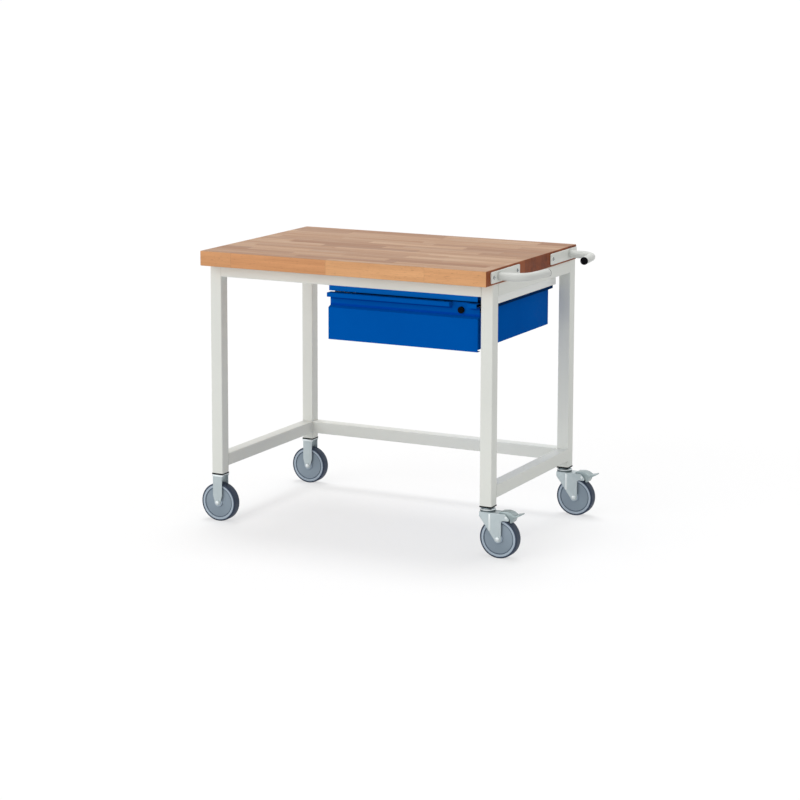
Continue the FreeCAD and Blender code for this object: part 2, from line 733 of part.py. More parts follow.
# Fixed casters on the left
def fixed_fork(end, y):
    """A straight fork: two tapered cheeks under a top plate with wider shoulders."""
    body = document.addObject("PartDesign::Body", "fixed_fork_" + end)
    half = "fixed_fork_width / 2"
    collar = "fixed_collar_width / 2"
    collar_foot = "caster_top - fixed_collar_height"
    taper = "axle_height + fixed_taper_height"
    cheeks = sketch_on(body, "XZ_Plane")
    polygon(cheeks, [("-" + collar, "caster_top"), ("-" + collar, collar_foot), ("-" + half, collar_foot),
                     ("-" + half, taper), ("-fixed_boss_radius", "axle_height"),
                     ("fixed_boss_radius", "axle_height"), (half, taper), (half, collar_foot),
                     (collar, collar_foot), (collar, "caster_top")])
    pad(body, cheeks, "fork_outer")
    boss = sketch_on(body, "XZ_Plane")
    circle(boss, ("0", "axle_height"), "fixed_boss_radius")
    pad(body, boss, "fork_outer")
    gap = sketch_on(body, "XZ_Plane")
    rectangle(gap, ("-fixed_collar_width", "0"), ("fixed_collar_width", "caster_top - fork_plate"))
    pocket(body, gap, "fork_inner")
    bore = sketch_on(body, "XZ_Plane")
    circle(bore, ("0", "axle_height"), "axle_radius + hole_clearance")
    pocket(body, bore, "fork_outer + cut_overrun")
    stem = sketch_on(body, "XY_Plane")
    circle(stem, ("0", "0"), "caster_bolt_radius + hole_clearance")
    pocket(body, stem, "2 * caster_top + cut_overrun")
    return keep(place(body, "-leg_x", y, "0"))


# Swivel casters with a brake on the right
def swivel_head(end, y):
    """The still half of the swivel: a bevelled cup with a race that the fork turns on."""
    body = document.addObject("PartDesign::Body", "swivel_head_" + end)
    sketch = sketch_on(body, "XZ_Plane")
    polygon(sketch, [("caster_bolt_radius + hole_clearance", "race_bottom"), ("race_radius", "race_bottom"),
                     ("race_radius", "head_bottom"), ("head_radius", "head_bottom"),
                     ("head_radius", "caster_top - head_bevel"), ("head_radius - head_bevel", "caster_top"),
                     ("caster_bolt_radius + hole_clearance", "caster_top")])
    revolve(body, sketch)
    return keep(place(body, "leg_x", y, "0"))


def swivel_balls(end, y):
    """The ring of balls between the cup and the fork's crown."""
    ring = "(race_radius + ring_inner_radius) / 2"
    balls = []
    for number in range(BALL_COUNT):
        angle = 360 * number / BALL_COUNT
        ball = document.addObject("Part::Sphere", "ball_%s_%d" % (end, number))
        ball.setExpression("Radius", bound("ball_radius"))
        place(ball, "leg_x + %s * cos(%s)" % (ring, angle), "%s + %s * sin(%s)" % (y, ring, angle),
              "crown_top + ball_radius + ball_lift")
        balls.append(ball)
    return keep(group("swivel_balls_" + end, balls))


def swivel_fork(end, y):
    """A trailing fork: raked cheeks under a crown with a front web, and ears for the brake pedal."""
    body = document.addObject("PartDesign::Body", "swivel_fork_" + end)
    cheeks = sketch_on(body, "XZ_Plane")
    ear_bottom = "crown_top - ear_top_drop - ear_height"
    polygon(cheeks, [("-fork_front_reach", "crown_top"), ("-fork_front_reach", "crown_top - fork_front_drop"),
                     ("swivel_trail - swivel_boss_radius", "axle_height"),
                     ("swivel_trail + swivel_boss_radius", "axle_height"),
                     ("swivel_trail + swivel_boss_radius", ear_bottom), ("ear_reach", ear_bottom),
                     ("ear_reach", "crown_top - ear_tip_drop"), ("pedal_pin_x - ear_slope_gap", "crown_top")])
    pad(body, cheeks, "fork_outer")
    boss = sketch_on(body, "XZ_Plane")
    circle(boss, ("swivel_trail", "axle_height"), "swivel_boss_radius")
    pad(body, boss, "fork_outer")
    gap = sketch_on(body, "XZ_Plane")
    web_back = "fork_plate - fork_front_reach"
    web_bottom = "crown_top - fork_front_drop"
    polygon(gap, [("-2 * fork_front_reach", "0"), ("2 * ear_reach", "0"), ("2 * ear_reach", "crown_bottom"),
                  (web_back, "crown_bottom"), (web_back, web_bottom), ("-2 * fork_front_reach", web_bottom)])
    pocket(body, gap, "fork_inner")
    end_gap = sketch_on(body, "XZ_Plane")
    rectangle(end_gap, ("fork_crown_reach", "0"), ("2 * ear_reach", "crown_top + cut_overrun"))
    pocket(body, end_gap, "fork_inner")
    bores = sketch_on(body, "XZ_Plane")
    circle(bores, ("swivel_trail", "axle_height"), "axle_radius + hole_clearance")
    circle(bores, ("pedal_pin_x", "pedal_pin_z"), "pedal_pin_radius")
    pocket(body, bores, "fork_outer + cut_overrun")
    race = sketch_on(body, "XY_Plane")
    circle(race, ("0", "0"), "race_radius + running_clearance")
    pocket(body, race, "2 * crown_top + cut_overrun")
    ring = sketch_on(body, "XZ_Plane")
    rectangle(ring, ("ring_inner_radius", "crown_bottom"), ("head_radius", "head_bottom - ring_gap"))
    revolve(body, ring)
    return keep(place(body, "leg_x", y, "0"))


def pedal_pin(name, x, y):
    """The headed pin that the brake pedal rocks on."""
    head_y = y + " - fork_outer / 2 - pedal_pin_head_height"
    head = rod(name + "_head", (x, head_y, "pedal_pin_z"), ALONG_Y,
               "pedal_pin_head_radius", "pedal_pin_head_height")
    shank = rod(name + "_shank", (x, y + " - fork_outer / 2", "pedal_pin_z"), ALONG_Y,
                "pedal_pin_radius", "fork_outer")
    tail = rod(name + "_tail", (x, y + " + fork_outer / 2", "pedal_pin_z"), ALONG_Y,
               "pedal_pin_head_radius", "pedal_pin_head_height")
    return fuse(name, [head, shank, tail])


def brake_pedal(end, y):
    """A bent pedal with a nose over the crown, a shoe over the tyre and a blade for the toe of a boot."""
    body = document.addObject("PartDesign::Body", "brake_pedal_" + end)
    heel = "pedal_pin_x - pedal_heel_back"
    nose = "pedal_pin_x - pedal_nose_reach"
    nose_foot = "crown_top + pedal_clearance"
    knee = "(pedal_pin_x + pedal_reach) / 2"
    outline = sketch_on(body, "XZ_Plane")
    tip_z = "pedal_pin_z + pedal_tip_rise"
    shoe_z = "pedal_pin_z - shoe_drop"
    polygon(outline, [(heel, "pedal_pin_z - pedal_heel_drop"), (heel, nose_foot), (nose, nose_foot),
                      (nose, "pedal_pin_z + pedal_nose_rise"),
                      ("pedal_pin_x", "pedal_pin_z + pedal_crest_rise"),
                      ("pedal_pin_x + pedal_brow_reach", "pedal_pin_z + pedal_brow_rise"),
                      (knee, "pedal_pin_z + pedal_knee_rise"), ("pedal_reach", tip_z),
                      ("pedal_reach", tip_z + " - pedal_plate"), (knee, "pedal_pin_z - pedal_knee_drop"),
                      (knee + " - shoe_front", shoe_z), (knee + " - shoe_back", shoe_z),
                      (knee + " - shoe_root", "pedal_pin_z - shoe_root_drop")])
    feature = pad(body, outline, "fork_inner - 2 * pedal_clearance")
    tip = measure("pedal_reach - pedal_plate / 2")

    def is_tip_corner(edge):
        return runs_along(edge, 2) and edge.CenterOfMass.x > tip

    round_edges(body, feature, is_tip_corner, "pedal_tip_round")
    bore = sketch_on(body, "XZ_Plane")
    circle(bore, ("pedal_pin_x", "pedal_pin_z"), "pedal_pin_radius + running_clearance")
    pocket(body, bore, "fork_outer")
    return keep(place(body, "leg_x", y, "0"))


bolts = []
fixed_axles = []
for end, end_y in ENDS.items():
    wheel(end + "_left", "-leg_x", end_y)
    wheel(end + "_right", "leg_x + swivel_trail", end_y)
    fixed_fork(end, end_y)
    swivel_head(end, end_y)
    swivel_balls(end, end_y)
    swivel_fork(end, end_y)
    brake_pedal(end, end_y)
    fixed_axles += axle("fixed_axle_" + end, "-leg_x", end_y)
    keep(group("swivel_axle_" + end, axle("axle_" + end, "leg_x + swivel_trail", end_y)
               + [pedal_pin("pedal_pin_" + end, "leg_x + pedal_pin_x", end_y)]))
    bolts += caster_bolt("fixed_bolt_" + end, "-leg_x", end_y, "caster_top - fork_plate", False)
    bolts += caster_bolt("swivel_bolt_" + end, "leg_x", end_y, "washer_bottom", True)
keep(group("fixed_axles", fixed_axles))
keep(group("caster_bolts", bolts))


# Drawer front: one folded sheet with a grip recess and a lip, and a return at each end
front_blank = document.addObject("PartDesign::Body", "drawer_front_blank")
fold = sketch_on(front_blank, "YZ_Plane")
recess_bottom = "drawer_face_height + grip_slope_height"
fold_drop = "%s * sheet_wall" % FOLD_SHARE
polygon(fold, [("front_return", "0"), ("0", "0"), ("0", "drawer_face_height"),
               ("grip_recess_depth", recess_bottom), ("grip_recess_depth", "recess_top"),
               ("-grip_lip_reach", "recess_top"), ("-grip_lip_reach", "drawer_front_height"),
               ("front_return", "drawer_front_height"),
               ("front_return", "drawer_front_height - sheet_wall"),
               ("sheet_wall - grip_lip_reach", "drawer_front_height - sheet_wall"),
               ("sheet_wall - grip_lip_reach", "recess_top + sheet_wall"),
               ("grip_recess_depth + sheet_wall", "recess_top + sheet_wall"),
               ("grip_recess_depth + sheet_wall", recess_bottom + " - " + fold_drop),
               ("sheet_wall", "drawer_face_height - " + fold_drop), ("sheet_wall", "sheet_wall"),
               ("front_return", "sheet_wall")])
pad(front_blank, fold, "drawer_width")
return_low = ("sheet_wall", "corner_relief")
return_high = ("front_return", "drawer_face_height - 2 * sheet_wall")
end_returns = sketch_on(front_blank, "YZ_Plane")
rectangle(end_returns, return_low, return_high)
pad(front_blank, end_returns, "drawer_width")
between = sketch_on(front_blank, "YZ_Plane")
rectangle(between, return_low, return_high)
pocket(front_blank, between, "drawer_width - 2 * sheet_wall")
place(front_blank, "drawer_centre", "drawer_face_y", "drawer_bottom")
notch_left = "lock_x - lip_notch_width / 2"
lip_notch = box("lip_notch", (notch_left, "drawer_face_y - grip_lip_reach - cut_overrun",
                              "drawer_bottom + recess_top - cut_overrun"),
                ("lip_notch_width", "grip_lip_reach + grip_recess_depth + cut_overrun",
                 "grip_lip_height + 2 * cut_overrun"))
notch_wall = box("notch_wall", (notch_left, "recess_y", "drawer_bottom + recess_top"),
                 ("lip_notch_width", "sheet_wall", "grip_lip_height"))
lock_hole = rod("lock_hole", ("lock_x", "drawer_face_y", "lock_z"), ALONG_Y, "lock_body_radius",
                "front_return")
notched_front = cut("notched_front", front_blank, group("drawer_front_cuts", [lip_notch, lock_hole]))
keep(fuse("drawer_front", [notched_front, notch_wall]))


# Drawer tray: an open box whose side walls fold out into running flanges
tray_left = "drawer_centre - tray_half"
tray_outer = box("tray_outer", (tray_left, "tray_front_y", "drawer_bottom"),
                 ("2 * tray_half", "tray_depth", "tray_side_height"))
tray_flanges = box("tray_flanges", (tray_left + " - tray_flange", "tray_front_y", "tray_top - sheet_wall"),
                   ("2 * (tray_half + tray_flange)", "tray_depth", "sheet_wall"))
tray_inner = box("tray_inner", (tray_left + " + sheet_wall", "tray_front_y + sheet_wall",
                                "drawer_bottom + sheet_wall"),
                 ("2 * (tray_half - sheet_wall)", "tray_depth - 2 * sheet_wall", "tray_side_height"))
tray_ends = box("tray_ends", (tray_left + " + sheet_wall", "tray_front_y - cut_overrun",
                              "drawer_bottom + tray_end_height"),
                ("2 * (tray_half - sheet_wall)", "tray_depth + 2 * cut_overrun", "tray_side_height"))
keep(cut("drawer_tray", fuse("tray_solid", [tray_outer, tray_flanges]),
         group("tray_cuts", [tray_inner, tray_ends])))

glides = []
for side, hand in HANGERS.items():
    glide_width = "tray_flange - 2 * sheet_wall"
    glide_low = "drawer_centre + %s * (tray_half + sheet_wall)" % hand
    glide_x = glide_low if side == "right" else glide_low + " - (%s)" % glide_width
    for end, glide_y in (("front", "tray_front_y + glide_inset"),
                         ("back", "tray_front_y + tray_depth - glide_inset - glide_length")):
        low_z = "runner_bottom + runner_wall + slide_clearance"
        glides.append(box("glide_%s_%s" % (side, end), (glide_x, glide_y, low_z),
                          (glide_width, "glide_length", "tray_top - sheet_wall - (%s)" % low_z)))
keep(group("drawer_glides", glides))


# Runners, hangers and the strip above the drawer
def runner(side, hand):
    """A channel that the tray's flange slides in, open towards the tray."""
    body = document.addObject("PartDesign::Body", "drawer_runner_" + side)
    sketch = sketch_on(body, "XZ_Plane")
    inner_wall = "runner_face - runner_wall"
    mouth = "runner_face - runner_reach"
    points = [(mouth, "0"), ("runner_face", "0"), ("runner_face", "runner_height"), (mouth, "runner_height"),
              (mouth, "runner_height - runner_wall"), (inner_wall, "runner_height - runner_wall"),
              (inner_wall, "runner_wall"), (mouth, "runner_wall")]
    polygon(sketch, [("%s * (%s)" % (hand, x), z) for x, z in points])
    pad(body, sketch, "runner_length")
    middle = "tray_front_y + runner_front_gap + runner_length / 2"
    return keep(place(body, "drawer_centre", middle, "runner_bottom"))


def hanger(side, hand):
    """A folded channel that hangs a runner from the underside of the worktop."""
    body = document.addObject("PartDesign::Body", "drawer_hanger_" + side)
    sketch = sketch_on(body, "XZ_Plane")
    outer_face = "runner_face + hanger_wall"
    flange_edge = "runner_face + hanger_wall - hanger_flange"
    height = "frame_top - runner_top"
    points = [(flange_edge, "0"), (outer_face, "0"), (outer_face, height), (flange_edge, height),
              (flange_edge, height + " - hanger_wall"), ("runner_face", height + " - hanger_wall"),
              ("runner_face", "hanger_wall"), (flange_edge, "hanger_wall")]
    polygon(sketch, [("%s * (%s)" % (hand, x), z) for x, z in points])
    pad(body, sketch, "side_rail_length")
    drills = sketch_on(body, "XY_Plane")
    for step in ("-1", "1"):
        circle(drills, ("%s * (runner_face + hanger_wall - hanger_flange / 2)" % hand,
                        step + " * hanger_screw_spread / 2"), "screw_head_radius + hole_clearance")
    pocket(body, drills, "4 * hanger_wall")
    screw_drills = sketch_on(body, "XY_Plane")
    for step in ("-1", "1"):
        circle(screw_drills, ("%s * (runner_face + hanger_wall - hanger_flange / 2)" % hand,
                              step + " * hanger_screw_spread / 2"), "wood_screw_radius + hole_clearance")
    pocket(body, screw_drills, "2 * (frame_top - runner_top) + cut_overrun")
    return keep(place(body, "drawer_centre", "side_rail_middle", "runner_top"))


for side, hand in HANGERS.items():
    runner(side, hand)
    hanger(side, hand)

strip = document.addObject("PartDesign::Body", "drawer_strip")
strip_sketch = sketch_on(strip, "YZ_Plane")
polygon(strip_sketch, [("0", "-strip_height"), ("sheet_wall", "-strip_height"),
                       ("sheet_wall", "-sheet_wall"), ("strip_depth - sheet_wall", "-sheet_wall"),
                       ("strip_depth - sheet_wall", "-strip_height"),
                       ("strip_depth", "-strip_height"), ("strip_depth", "0"), ("0", "0")])
pad(strip, strip_sketch, "drawer_width - 2 * strip_end_gap")
keep(place(strip, "drawer_centre", "drawer_face_y + strip_setback", "frame_top - tube_side"))


# Drawer lock: a barrel in the grip recess, its nut behind, and a plug that swings a cam up behind the strip
flange_y = "recess_y - lock_flange_height"
barrel_solid = fuse("barrel_solid", [
    rod("barrel_flange", ("lock_x", flange_y, "lock_z"), ALONG_Y, "lock_flange_radius", "lock_flange_height"),
    rod("barrel_body", ("lock_x", "recess_y", "lock_z"), ALONG_Y, "lock_body_radius", "lock_body_length")])
barrel_bore = rod("barrel_bore", ("lock_x", flange_y + " - cut_overrun", "lock_z"), ALONG_Y,
                  "lock_plug_radius + running_clearance",
                  "lock_flange_height + lock_body_length + 2 * cut_overrun")
keep(cut("lock_barrel", barrel_solid, barrel_bore))

nut_y = "recess_y + sheet_wall"
nut_start = ("lock_x", nut_y, "lock_z")
lock_nut_blank = hexagon("lock_nut_blank", nut_start, ALONG_Y, "lock_nut_radius", "lock_nut_height")
lock_nut_bore = rod("lock_nut_bore", nut_start, ALONG_Y, "lock_body_radius", "lock_nut_height")
keep(cut("lock_nut", lock_nut_blank, lock_nut_bore))

plug_front = flange_y + " - lock_plug_proud"
plug_rod = rod("plug_rod", ("lock_x", plug_front, "lock_z"), ALONG_Y, "lock_plug_radius",
               "plug_end_y - (%s)" % plug_front)
key_slot = box("key_slot", ("lock_x - key_slot_width / 2", plug_front + " - cut_overrun",
                            "lock_z - key_slot_length / 2"),
               ("key_slot_width", "key_slot_depth + cut_overrun", "key_slot_length"))
keep(cut("lock_plug", plug_rod, key_slot))

cam_y = "recess_y + lock_body_length + cam_gap"
cam_arm = box("cam_arm", ("lock_x - cam_length", cam_y, "lock_z - cam_width / 2"),
              ("cam_length", "cam_plate", "cam_width"))
cam_eye = rod("cam_eye", ("lock_x", cam_y, "lock_z"), ALONG_Y, "lock_plug_radius + cam_eye_rim", "cam_plate")
cam_hole = rod("cam_hole", ("lock_x", cam_y, "lock_z"), ALONG_Y, "lock_plug_radius", "cam_plate")
keep(cut("lock_cam", fuse("cam_solid", [cam_arm, cam_eye]), cam_hole))


# Every object is sound before anything is written
document.recompute()
for thing in document.Objects:
    if "Invalid" in thing.State or "Error" in thing.State:
        raise RuntimeError("failed object: " + thing.Label)
for piece in pieces:
    shape = piece.Shape
    if shape.isNull() or not shape.isValid() or not shape.Solids:
        raise RuntimeError("unsound piece: " + piece.Label)

os.makedirs("parts", exist_ok=True)
for piece in pieces:
    piece.Shape.exportStep("parts/%s.step" % piece.Label)
    print("%-24s %2d solids %10.1f mm3" % (piece.Label, len(piece.Shape.Solids), piece.Shape.Volume))
print(len(pieces), "pieces")
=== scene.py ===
# %% [markdown]
# # A mobile workbench, dressed for a studio picture
# The frame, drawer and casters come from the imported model, already in place and in metres. This lesson gives each
# surface its finish, and models again the pieces whose folds, rounds and pressings show: the drawer, the wheels,
# the forks and the small fittings. Nothing from the model is moved; a new piece stands where the old one stood.

# %% Load the frame
import json
import math
import bpy
import bmesh
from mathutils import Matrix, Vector


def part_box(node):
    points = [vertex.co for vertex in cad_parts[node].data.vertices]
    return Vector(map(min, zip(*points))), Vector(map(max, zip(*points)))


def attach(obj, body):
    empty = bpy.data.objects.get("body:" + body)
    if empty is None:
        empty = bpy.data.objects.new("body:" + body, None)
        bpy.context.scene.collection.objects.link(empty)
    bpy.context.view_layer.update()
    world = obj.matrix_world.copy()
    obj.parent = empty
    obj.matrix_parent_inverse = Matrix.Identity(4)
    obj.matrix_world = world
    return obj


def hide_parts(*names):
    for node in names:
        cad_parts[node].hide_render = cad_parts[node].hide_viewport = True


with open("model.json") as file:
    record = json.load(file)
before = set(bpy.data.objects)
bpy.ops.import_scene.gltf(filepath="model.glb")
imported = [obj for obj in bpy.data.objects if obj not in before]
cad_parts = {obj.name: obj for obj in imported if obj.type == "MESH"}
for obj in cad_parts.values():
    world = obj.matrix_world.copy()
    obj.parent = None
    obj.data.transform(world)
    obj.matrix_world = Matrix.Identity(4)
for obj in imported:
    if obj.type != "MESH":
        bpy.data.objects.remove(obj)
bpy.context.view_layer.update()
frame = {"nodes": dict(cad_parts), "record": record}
MM = 0.001


# %% [markdown]
# ## Small tools for modelling by hand
# Every operator works on what is selected, so each step starts with a clear selection. A profile is drawn the way
# one draws it by hand: one vertex, extruded from point to point. Extruding that chain sideways gives a folded sheet,
# and spinning it gives a turned piece.

# %% Selection helpers
def deselect():
    """Leave edit mode and clear the selection."""
    if bpy.context.object and bpy.context.object.mode != "OBJECT":
        bpy.ops.object.mode_set(mode="OBJECT")
    bpy.ops.object.select_all(action="DESELECT")


def only(piece):
    """Select one piece and make it active."""
    deselect()
    piece.select_set(True)
    bpy.context.view_layer.objects.active = piece


def edit(piece, kind="VERT"):
    """Enter edit mode on one piece with nothing selected."""
    only(piece)
    bpy.ops.object.mode_set(mode="EDIT")
    bpy.ops.mesh.select_mode(type=kind)
    bpy.ops.mesh.select_all(action="DESELECT")


def edit_all(piece):
    """Enter edit mode on one piece with everything selected."""
    edit(piece)
    bpy.ops.mesh.select_all(action="SELECT")


def pick(piece, kind, test):
    """Select the edges or faces that pass a test, which gets their middle and themselves."""
    edit(piece, kind)
    shape = bmesh.from_edit_mesh(piece.data)
    for part in {"EDGE": shape.edges, "FACE": shape.faces}[kind]:
        middle = sum((corner.co for corner in part.verts), Vector()) / len(part.verts)
        if test(middle, part):
            part.select_set(True)
    bmesh.update_edit_mesh(piece.data)


# %% Shaping helpers
SAME_PLACE = 0.01 * MM


def push(offset):
    """Extrude what is selected and move it."""
    bpy.ops.mesh.extrude_region_move(TRANSFORM_OT_translate={"value": offset})


def settle(piece):
    """Put a piece's place into its mesh."""
    only(piece)
    bpy.ops.object.transform_apply(location=True, rotation=True, scale=True)


def clean(piece):
    """Merge doubles and turn the faces outwards."""
    edit_all(piece)
    bpy.ops.mesh.remove_doubles(threshold=SAME_PLACE)
    bpy.ops.mesh.normals_make_consistent(inside=False)
    bpy.ops.object.mode_set(mode="OBJECT")


def modify(piece, kind, **settings):
    """Add a modifier with its settings and apply it."""
    only(piece)
    modifier = piece.modifiers.new(kind, kind)
    for name, value in settings.items():
        setattr(modifier, name, value)
    bpy.ops.object.modifier_apply(modifier=modifier.name)


def soften(piece, width, segments=2, angle=30):
    """Round the sharp edges of a piece."""
    modify(piece, "BEVEL", width=width, segments=segments, limit_method="ANGLE", angle_limit=math.radians(angle))


def rename(piece, name):
    """Name a piece and its mesh."""
    piece.name = name
    piece.data.name = name
    return piece


def join(pieces, name):
    """Make one piece of several."""
    only(pieces[0])
    for piece in pieces[1:]:
        piece.select_set(True)
    bpy.ops.object.join()
    return rename(bpy.context.object, name)


# %% Shapes to start from
def block(name, low, high):
    """A block between two corners."""
    deselect()
    low, high = Vector(low), Vector(high)
    bpy.ops.mesh.primitive_cube_add(size=1, location=(low + high) / 2)
    piece = rename(bpy.context.object, name)
    piece.scale = high - low
    settle(piece)
    return piece


def chain(name, points):
    """One open chain of edges, drawn by extruding a single vertex."""
    deselect()
    points = [Vector(point) for point in points]
    bpy.ops.mesh.primitive_plane_add(size=MM, location=points[0])
    piece = rename(bpy.context.object, name)
    settle(piece)
    edit_all(piece)
    bpy.ops.mesh.merge(type="CENTER")
    for before, after in zip(points, points[1:]):
        push(after - before)
    bpy.ops.object.mode_set(mode="OBJECT")
    return piece


def slab(name, points, offset):
    """A closed outline filled and extruded into a plate."""
    piece = chain(name, points)
    edit_all(piece)
    bpy.ops.mesh.edge_face_add()
    push(offset)
    clean(piece)
    return piece


def turned(name, points, centre, axis, steps=72):
    """A chain spun once round an axis."""
    piece = chain(name, points)
    edit_all(piece)
    bpy.ops.mesh.spin(steps=steps, angle=math.tau, center=centre, axis=axis)
    clean(piece)
    return piece


# %% Copies and the hand-over
SMOOTH_ANGLE = math.radians(35)


def copied(piece, name, offset=(0, 0, 0)):
    """A copy with its own mesh, moved by an offset."""
    only(piece)
    bpy.ops.object.duplicate()
    twin = rename(bpy.context.object, name)
    twin.location = offset
    settle(twin)
    return twin


def flipped(piece, name, middle_y):
    """A copy mirrored across a plane square to Y."""
    twin = copied(piece, name)
    edit_all(twin)
    bpy.ops.transform.resize(value=(1, -1, 1), center_override=(0, middle_y, 0))
    clean(twin)
    return twin


def hand_over(piece, body, slot, node, finish=None):
    """Finish a piece: smooth shading, its material, the body it rides on and the node it stands for, which is hidden.
    """
    settle(piece)
    bpy.ops.object.shade_smooth_by_angle(angle=SMOOTH_ANGLE)
    piece.data.materials.clear()
    piece.data.materials.append(finishes[finish or slot])
    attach(piece, body)
    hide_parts(node)
    print(piece.name, len(piece.data.polygons), "faces, rides on", body)


# %% [markdown]
# ## Tools for finishes
# A finish is a small net of nodes. Effects that several finishes share, such as the fine texture of powder coat, are
# node groups with named inputs, so that each finish sets its own scale. The groups put out only what varies over the
# surface; plain numbers go straight on the shader.

# %% Node helpers
def add(tree, kind, **settings):
    """A node with its settings."""
    node = tree.nodes.new(kind)
    for name, value in settings.items():
        setattr(node, name, value)
    return node


def feed(tree, socket, value):
    """Link a socket, or set it to a plain value."""
    if isinstance(value, bpy.types.NodeSocket):
        tree.links.new(value, socket)
    else:
        socket.default_value = value


def maths(tree, operation, first, second=0.0):
    """One arithmetic step."""
    node = add(tree, "ShaderNodeMath", operation=operation)
    feed(tree, node.inputs[0], first)
    feed(tree, node.inputs[1], second)
    return node.outputs[0]


def spread(tree, value, low, high, to_low=0.0, to_high=1.0):
    """Map a value from one range to another, held at the ends, or make a mask that grows over a range."""
    node = add(tree, "ShaderNodeMapRange")
    for socket, number in zip(node.inputs, (value, low, high, to_low, to_high)):
        feed(tree, socket, number)
    return node.outputs["Result"]


def stretched(tree, coordinates, scale):
    """Coordinates scaled along each axis."""
    node = add(tree, "ShaderNodeMapping")
    feed(tree, node.inputs["Vector"], coordinates)
    node.inputs["Scale"].default_value = scale
    return node.outputs["Vector"]


def noise(tree, coordinates, scale, detail=2.0, roughness=0.5):
    """A soft random value."""
    node = add(tree, "ShaderNodeTexNoise")
    feed(tree, node.inputs["Vector"], coordinates)
    feed(tree, node.inputs["Scale"], scale)
    node.inputs["Detail"].default_value = detail
    node.inputs["Roughness"].default_value = roughness
    return node.outputs["Fac"]


def mixed(tree, factor, first, second):
    """Two colours mixed."""
    node = add(tree, "ShaderNodeMix", data_type="RGBA")
    feed(tree, node.inputs["Factor"], factor)
    feed(tree, node.inputs[6], first)
    feed(tree, node.inputs[7], second)
    return node.outputs[2]


def new_group(name, inputs, outputs):
    """An empty node group with named sockets."""
    tree = bpy.data.node_groups.new(name, "ShaderNodeTree")
    for label, default in inputs:
        socket = tree.interface.new_socket(label, in_out="INPUT", socket_type="NodeSocketFloat")
        socket.default_value = default
    for label in outputs:
        tree.interface.new_socket(label, in_out="OUTPUT", socket_type="NodeSocketFloat")
    source = add(tree, "NodeGroupInput")
    sink = add(tree, "NodeGroupOutput")
    place = add(tree, "ShaderNodeTexCoord").outputs["Object"]
    return tree, source.outputs, sink.inputs, place


def use_group(tree, group, **values):
    """A node group placed in a material with its own values."""
    node = add(tree, "ShaderNodeGroup", node_tree=group)
    for label, value in values.items():
        node.inputs[label].default_value = value
    return node.outputs


def new_finish(name):
    """An empty finish with its shader."""
    material = bpy.data.materials.new(name)
    material.use_nodes = True
    tree = material.node_tree
    shader = tree.nodes["Principled BSDF"]
    return material, tree, shader.inputs


def emboss(tree, height, strength, distance):
    """A bump from a height value."""
    node = add(tree, "ShaderNodeBump")
    node.inputs["Strength"].default_value = strength
    node.inputs["Distance"].default_value = distance
    feed(tree, node.inputs["Height"], height)
    return node.outputs["Normal"]


def coordinate(tree, axis):
    """One coordinate of the shaded point."""
    spot = add(tree, "ShaderNodeSeparateXYZ")
    tree.links.new(add(tree, "ShaderNodeTexCoord").outputs["Object"], spot.inputs[0])
    return spot.outputs[axis]


def toned(tree, where, tone):
    """Lay another tone over a finish where a mask is one."""
    colour = tree.nodes["Principled BSDF"].inputs["Base Color"]
    tree.links.new(mixed(tree, where, colour.links[0].from_socket, tone), colour)


def rgb(red, green, blue):
    """A colour as a screen shows it, turned into linear light."""
    def linear(value):
        value /= 255
        return value / 12.92 if value <= 0.04045 else ((value + 0.055) / 1.055) ** 2.4
    return (linear(red), linear(green), linear(blue), 1.0)


finishes = {}


# %% [markdown]
# ## Shared surface effects
# Three effects serve most finishes here. Powder coat has a fine orange peel and drifts a little in shade. Moulded
# plastic and rubber have a finer, duller grain. The two are built alike, so one function makes both. Zinc plating is
# mottled, with soft spangles from the bath.

# %% Powder texture and mould grain groups
def textured(name, detail, roughness, drift_detail, spot_share, dullness):
    """A group with a fine grain for the bump, a slow drift of the shade, and dull spots coarser than the grain."""
    tree, source, sink, place = new_group(name, [("Grain", 500.0), ("Drift", 5.0)], ["Shade", "Roughness", "Height"])
    tree.links.new(noise(tree, place, source["Grain"], detail, roughness), sink["Height"])
    drift = noise(tree, place, source["Drift"], drift_detail)
    tree.links.new(spread(tree, drift, 0.35, 0.65), sink["Shade"])
    spots = noise(tree, place, maths(tree, "MULTIPLY", source["Grain"], spot_share), detail)
    tree.links.new(spread(tree, spots, 0.3, 0.7, *dullness), sink["Roughness"])
    return tree


powder = textured("powder_texture", detail=3.0, roughness=0.5, drift_detail=4.0, spot_share=0.3, dullness=(0.34, 0.5))
mould = textured("mould_grain", detail=4.0, roughness=0.65, drift_detail=5.0, spot_share=0.1, dullness=(0.46, 0.66))

# %% Zinc plating group
SPANGLE_SHARE = 0.35
PLATING_GRAIN = 700.0

plating, source, sink, place = new_group("zinc_plating", [("Mottle", 60.0)], ["Shade", "Roughness", "Height"])
plating_cells = add(plating, "ShaderNodeTexVoronoi")
plating.links.new(place, plating_cells.inputs["Vector"])
plating.links.new(source["Mottle"], plating_cells.inputs["Scale"])
plating_cloud = noise(plating, place, source["Mottle"], 5.0, 0.6)
plating_spangles = maths(plating, "MULTIPLY", plating_cells.outputs["Distance"], SPANGLE_SHARE)
plating_mix = maths(plating, "ADD", plating_spangles, plating_cloud)
plating.links.new(spread(plating, plating_mix, 0.45, 0.95), sink["Shade"])
plating.links.new(spread(plating, plating_cloud, 0.3, 0.7, 0.3, 0.4), sink["Roughness"])
plating.links.new(noise(plating, place, PLATING_GRAIN, 3.0), sink["Height"])
print("shared effects:", [group.name for group in bpy.data.node_groups])
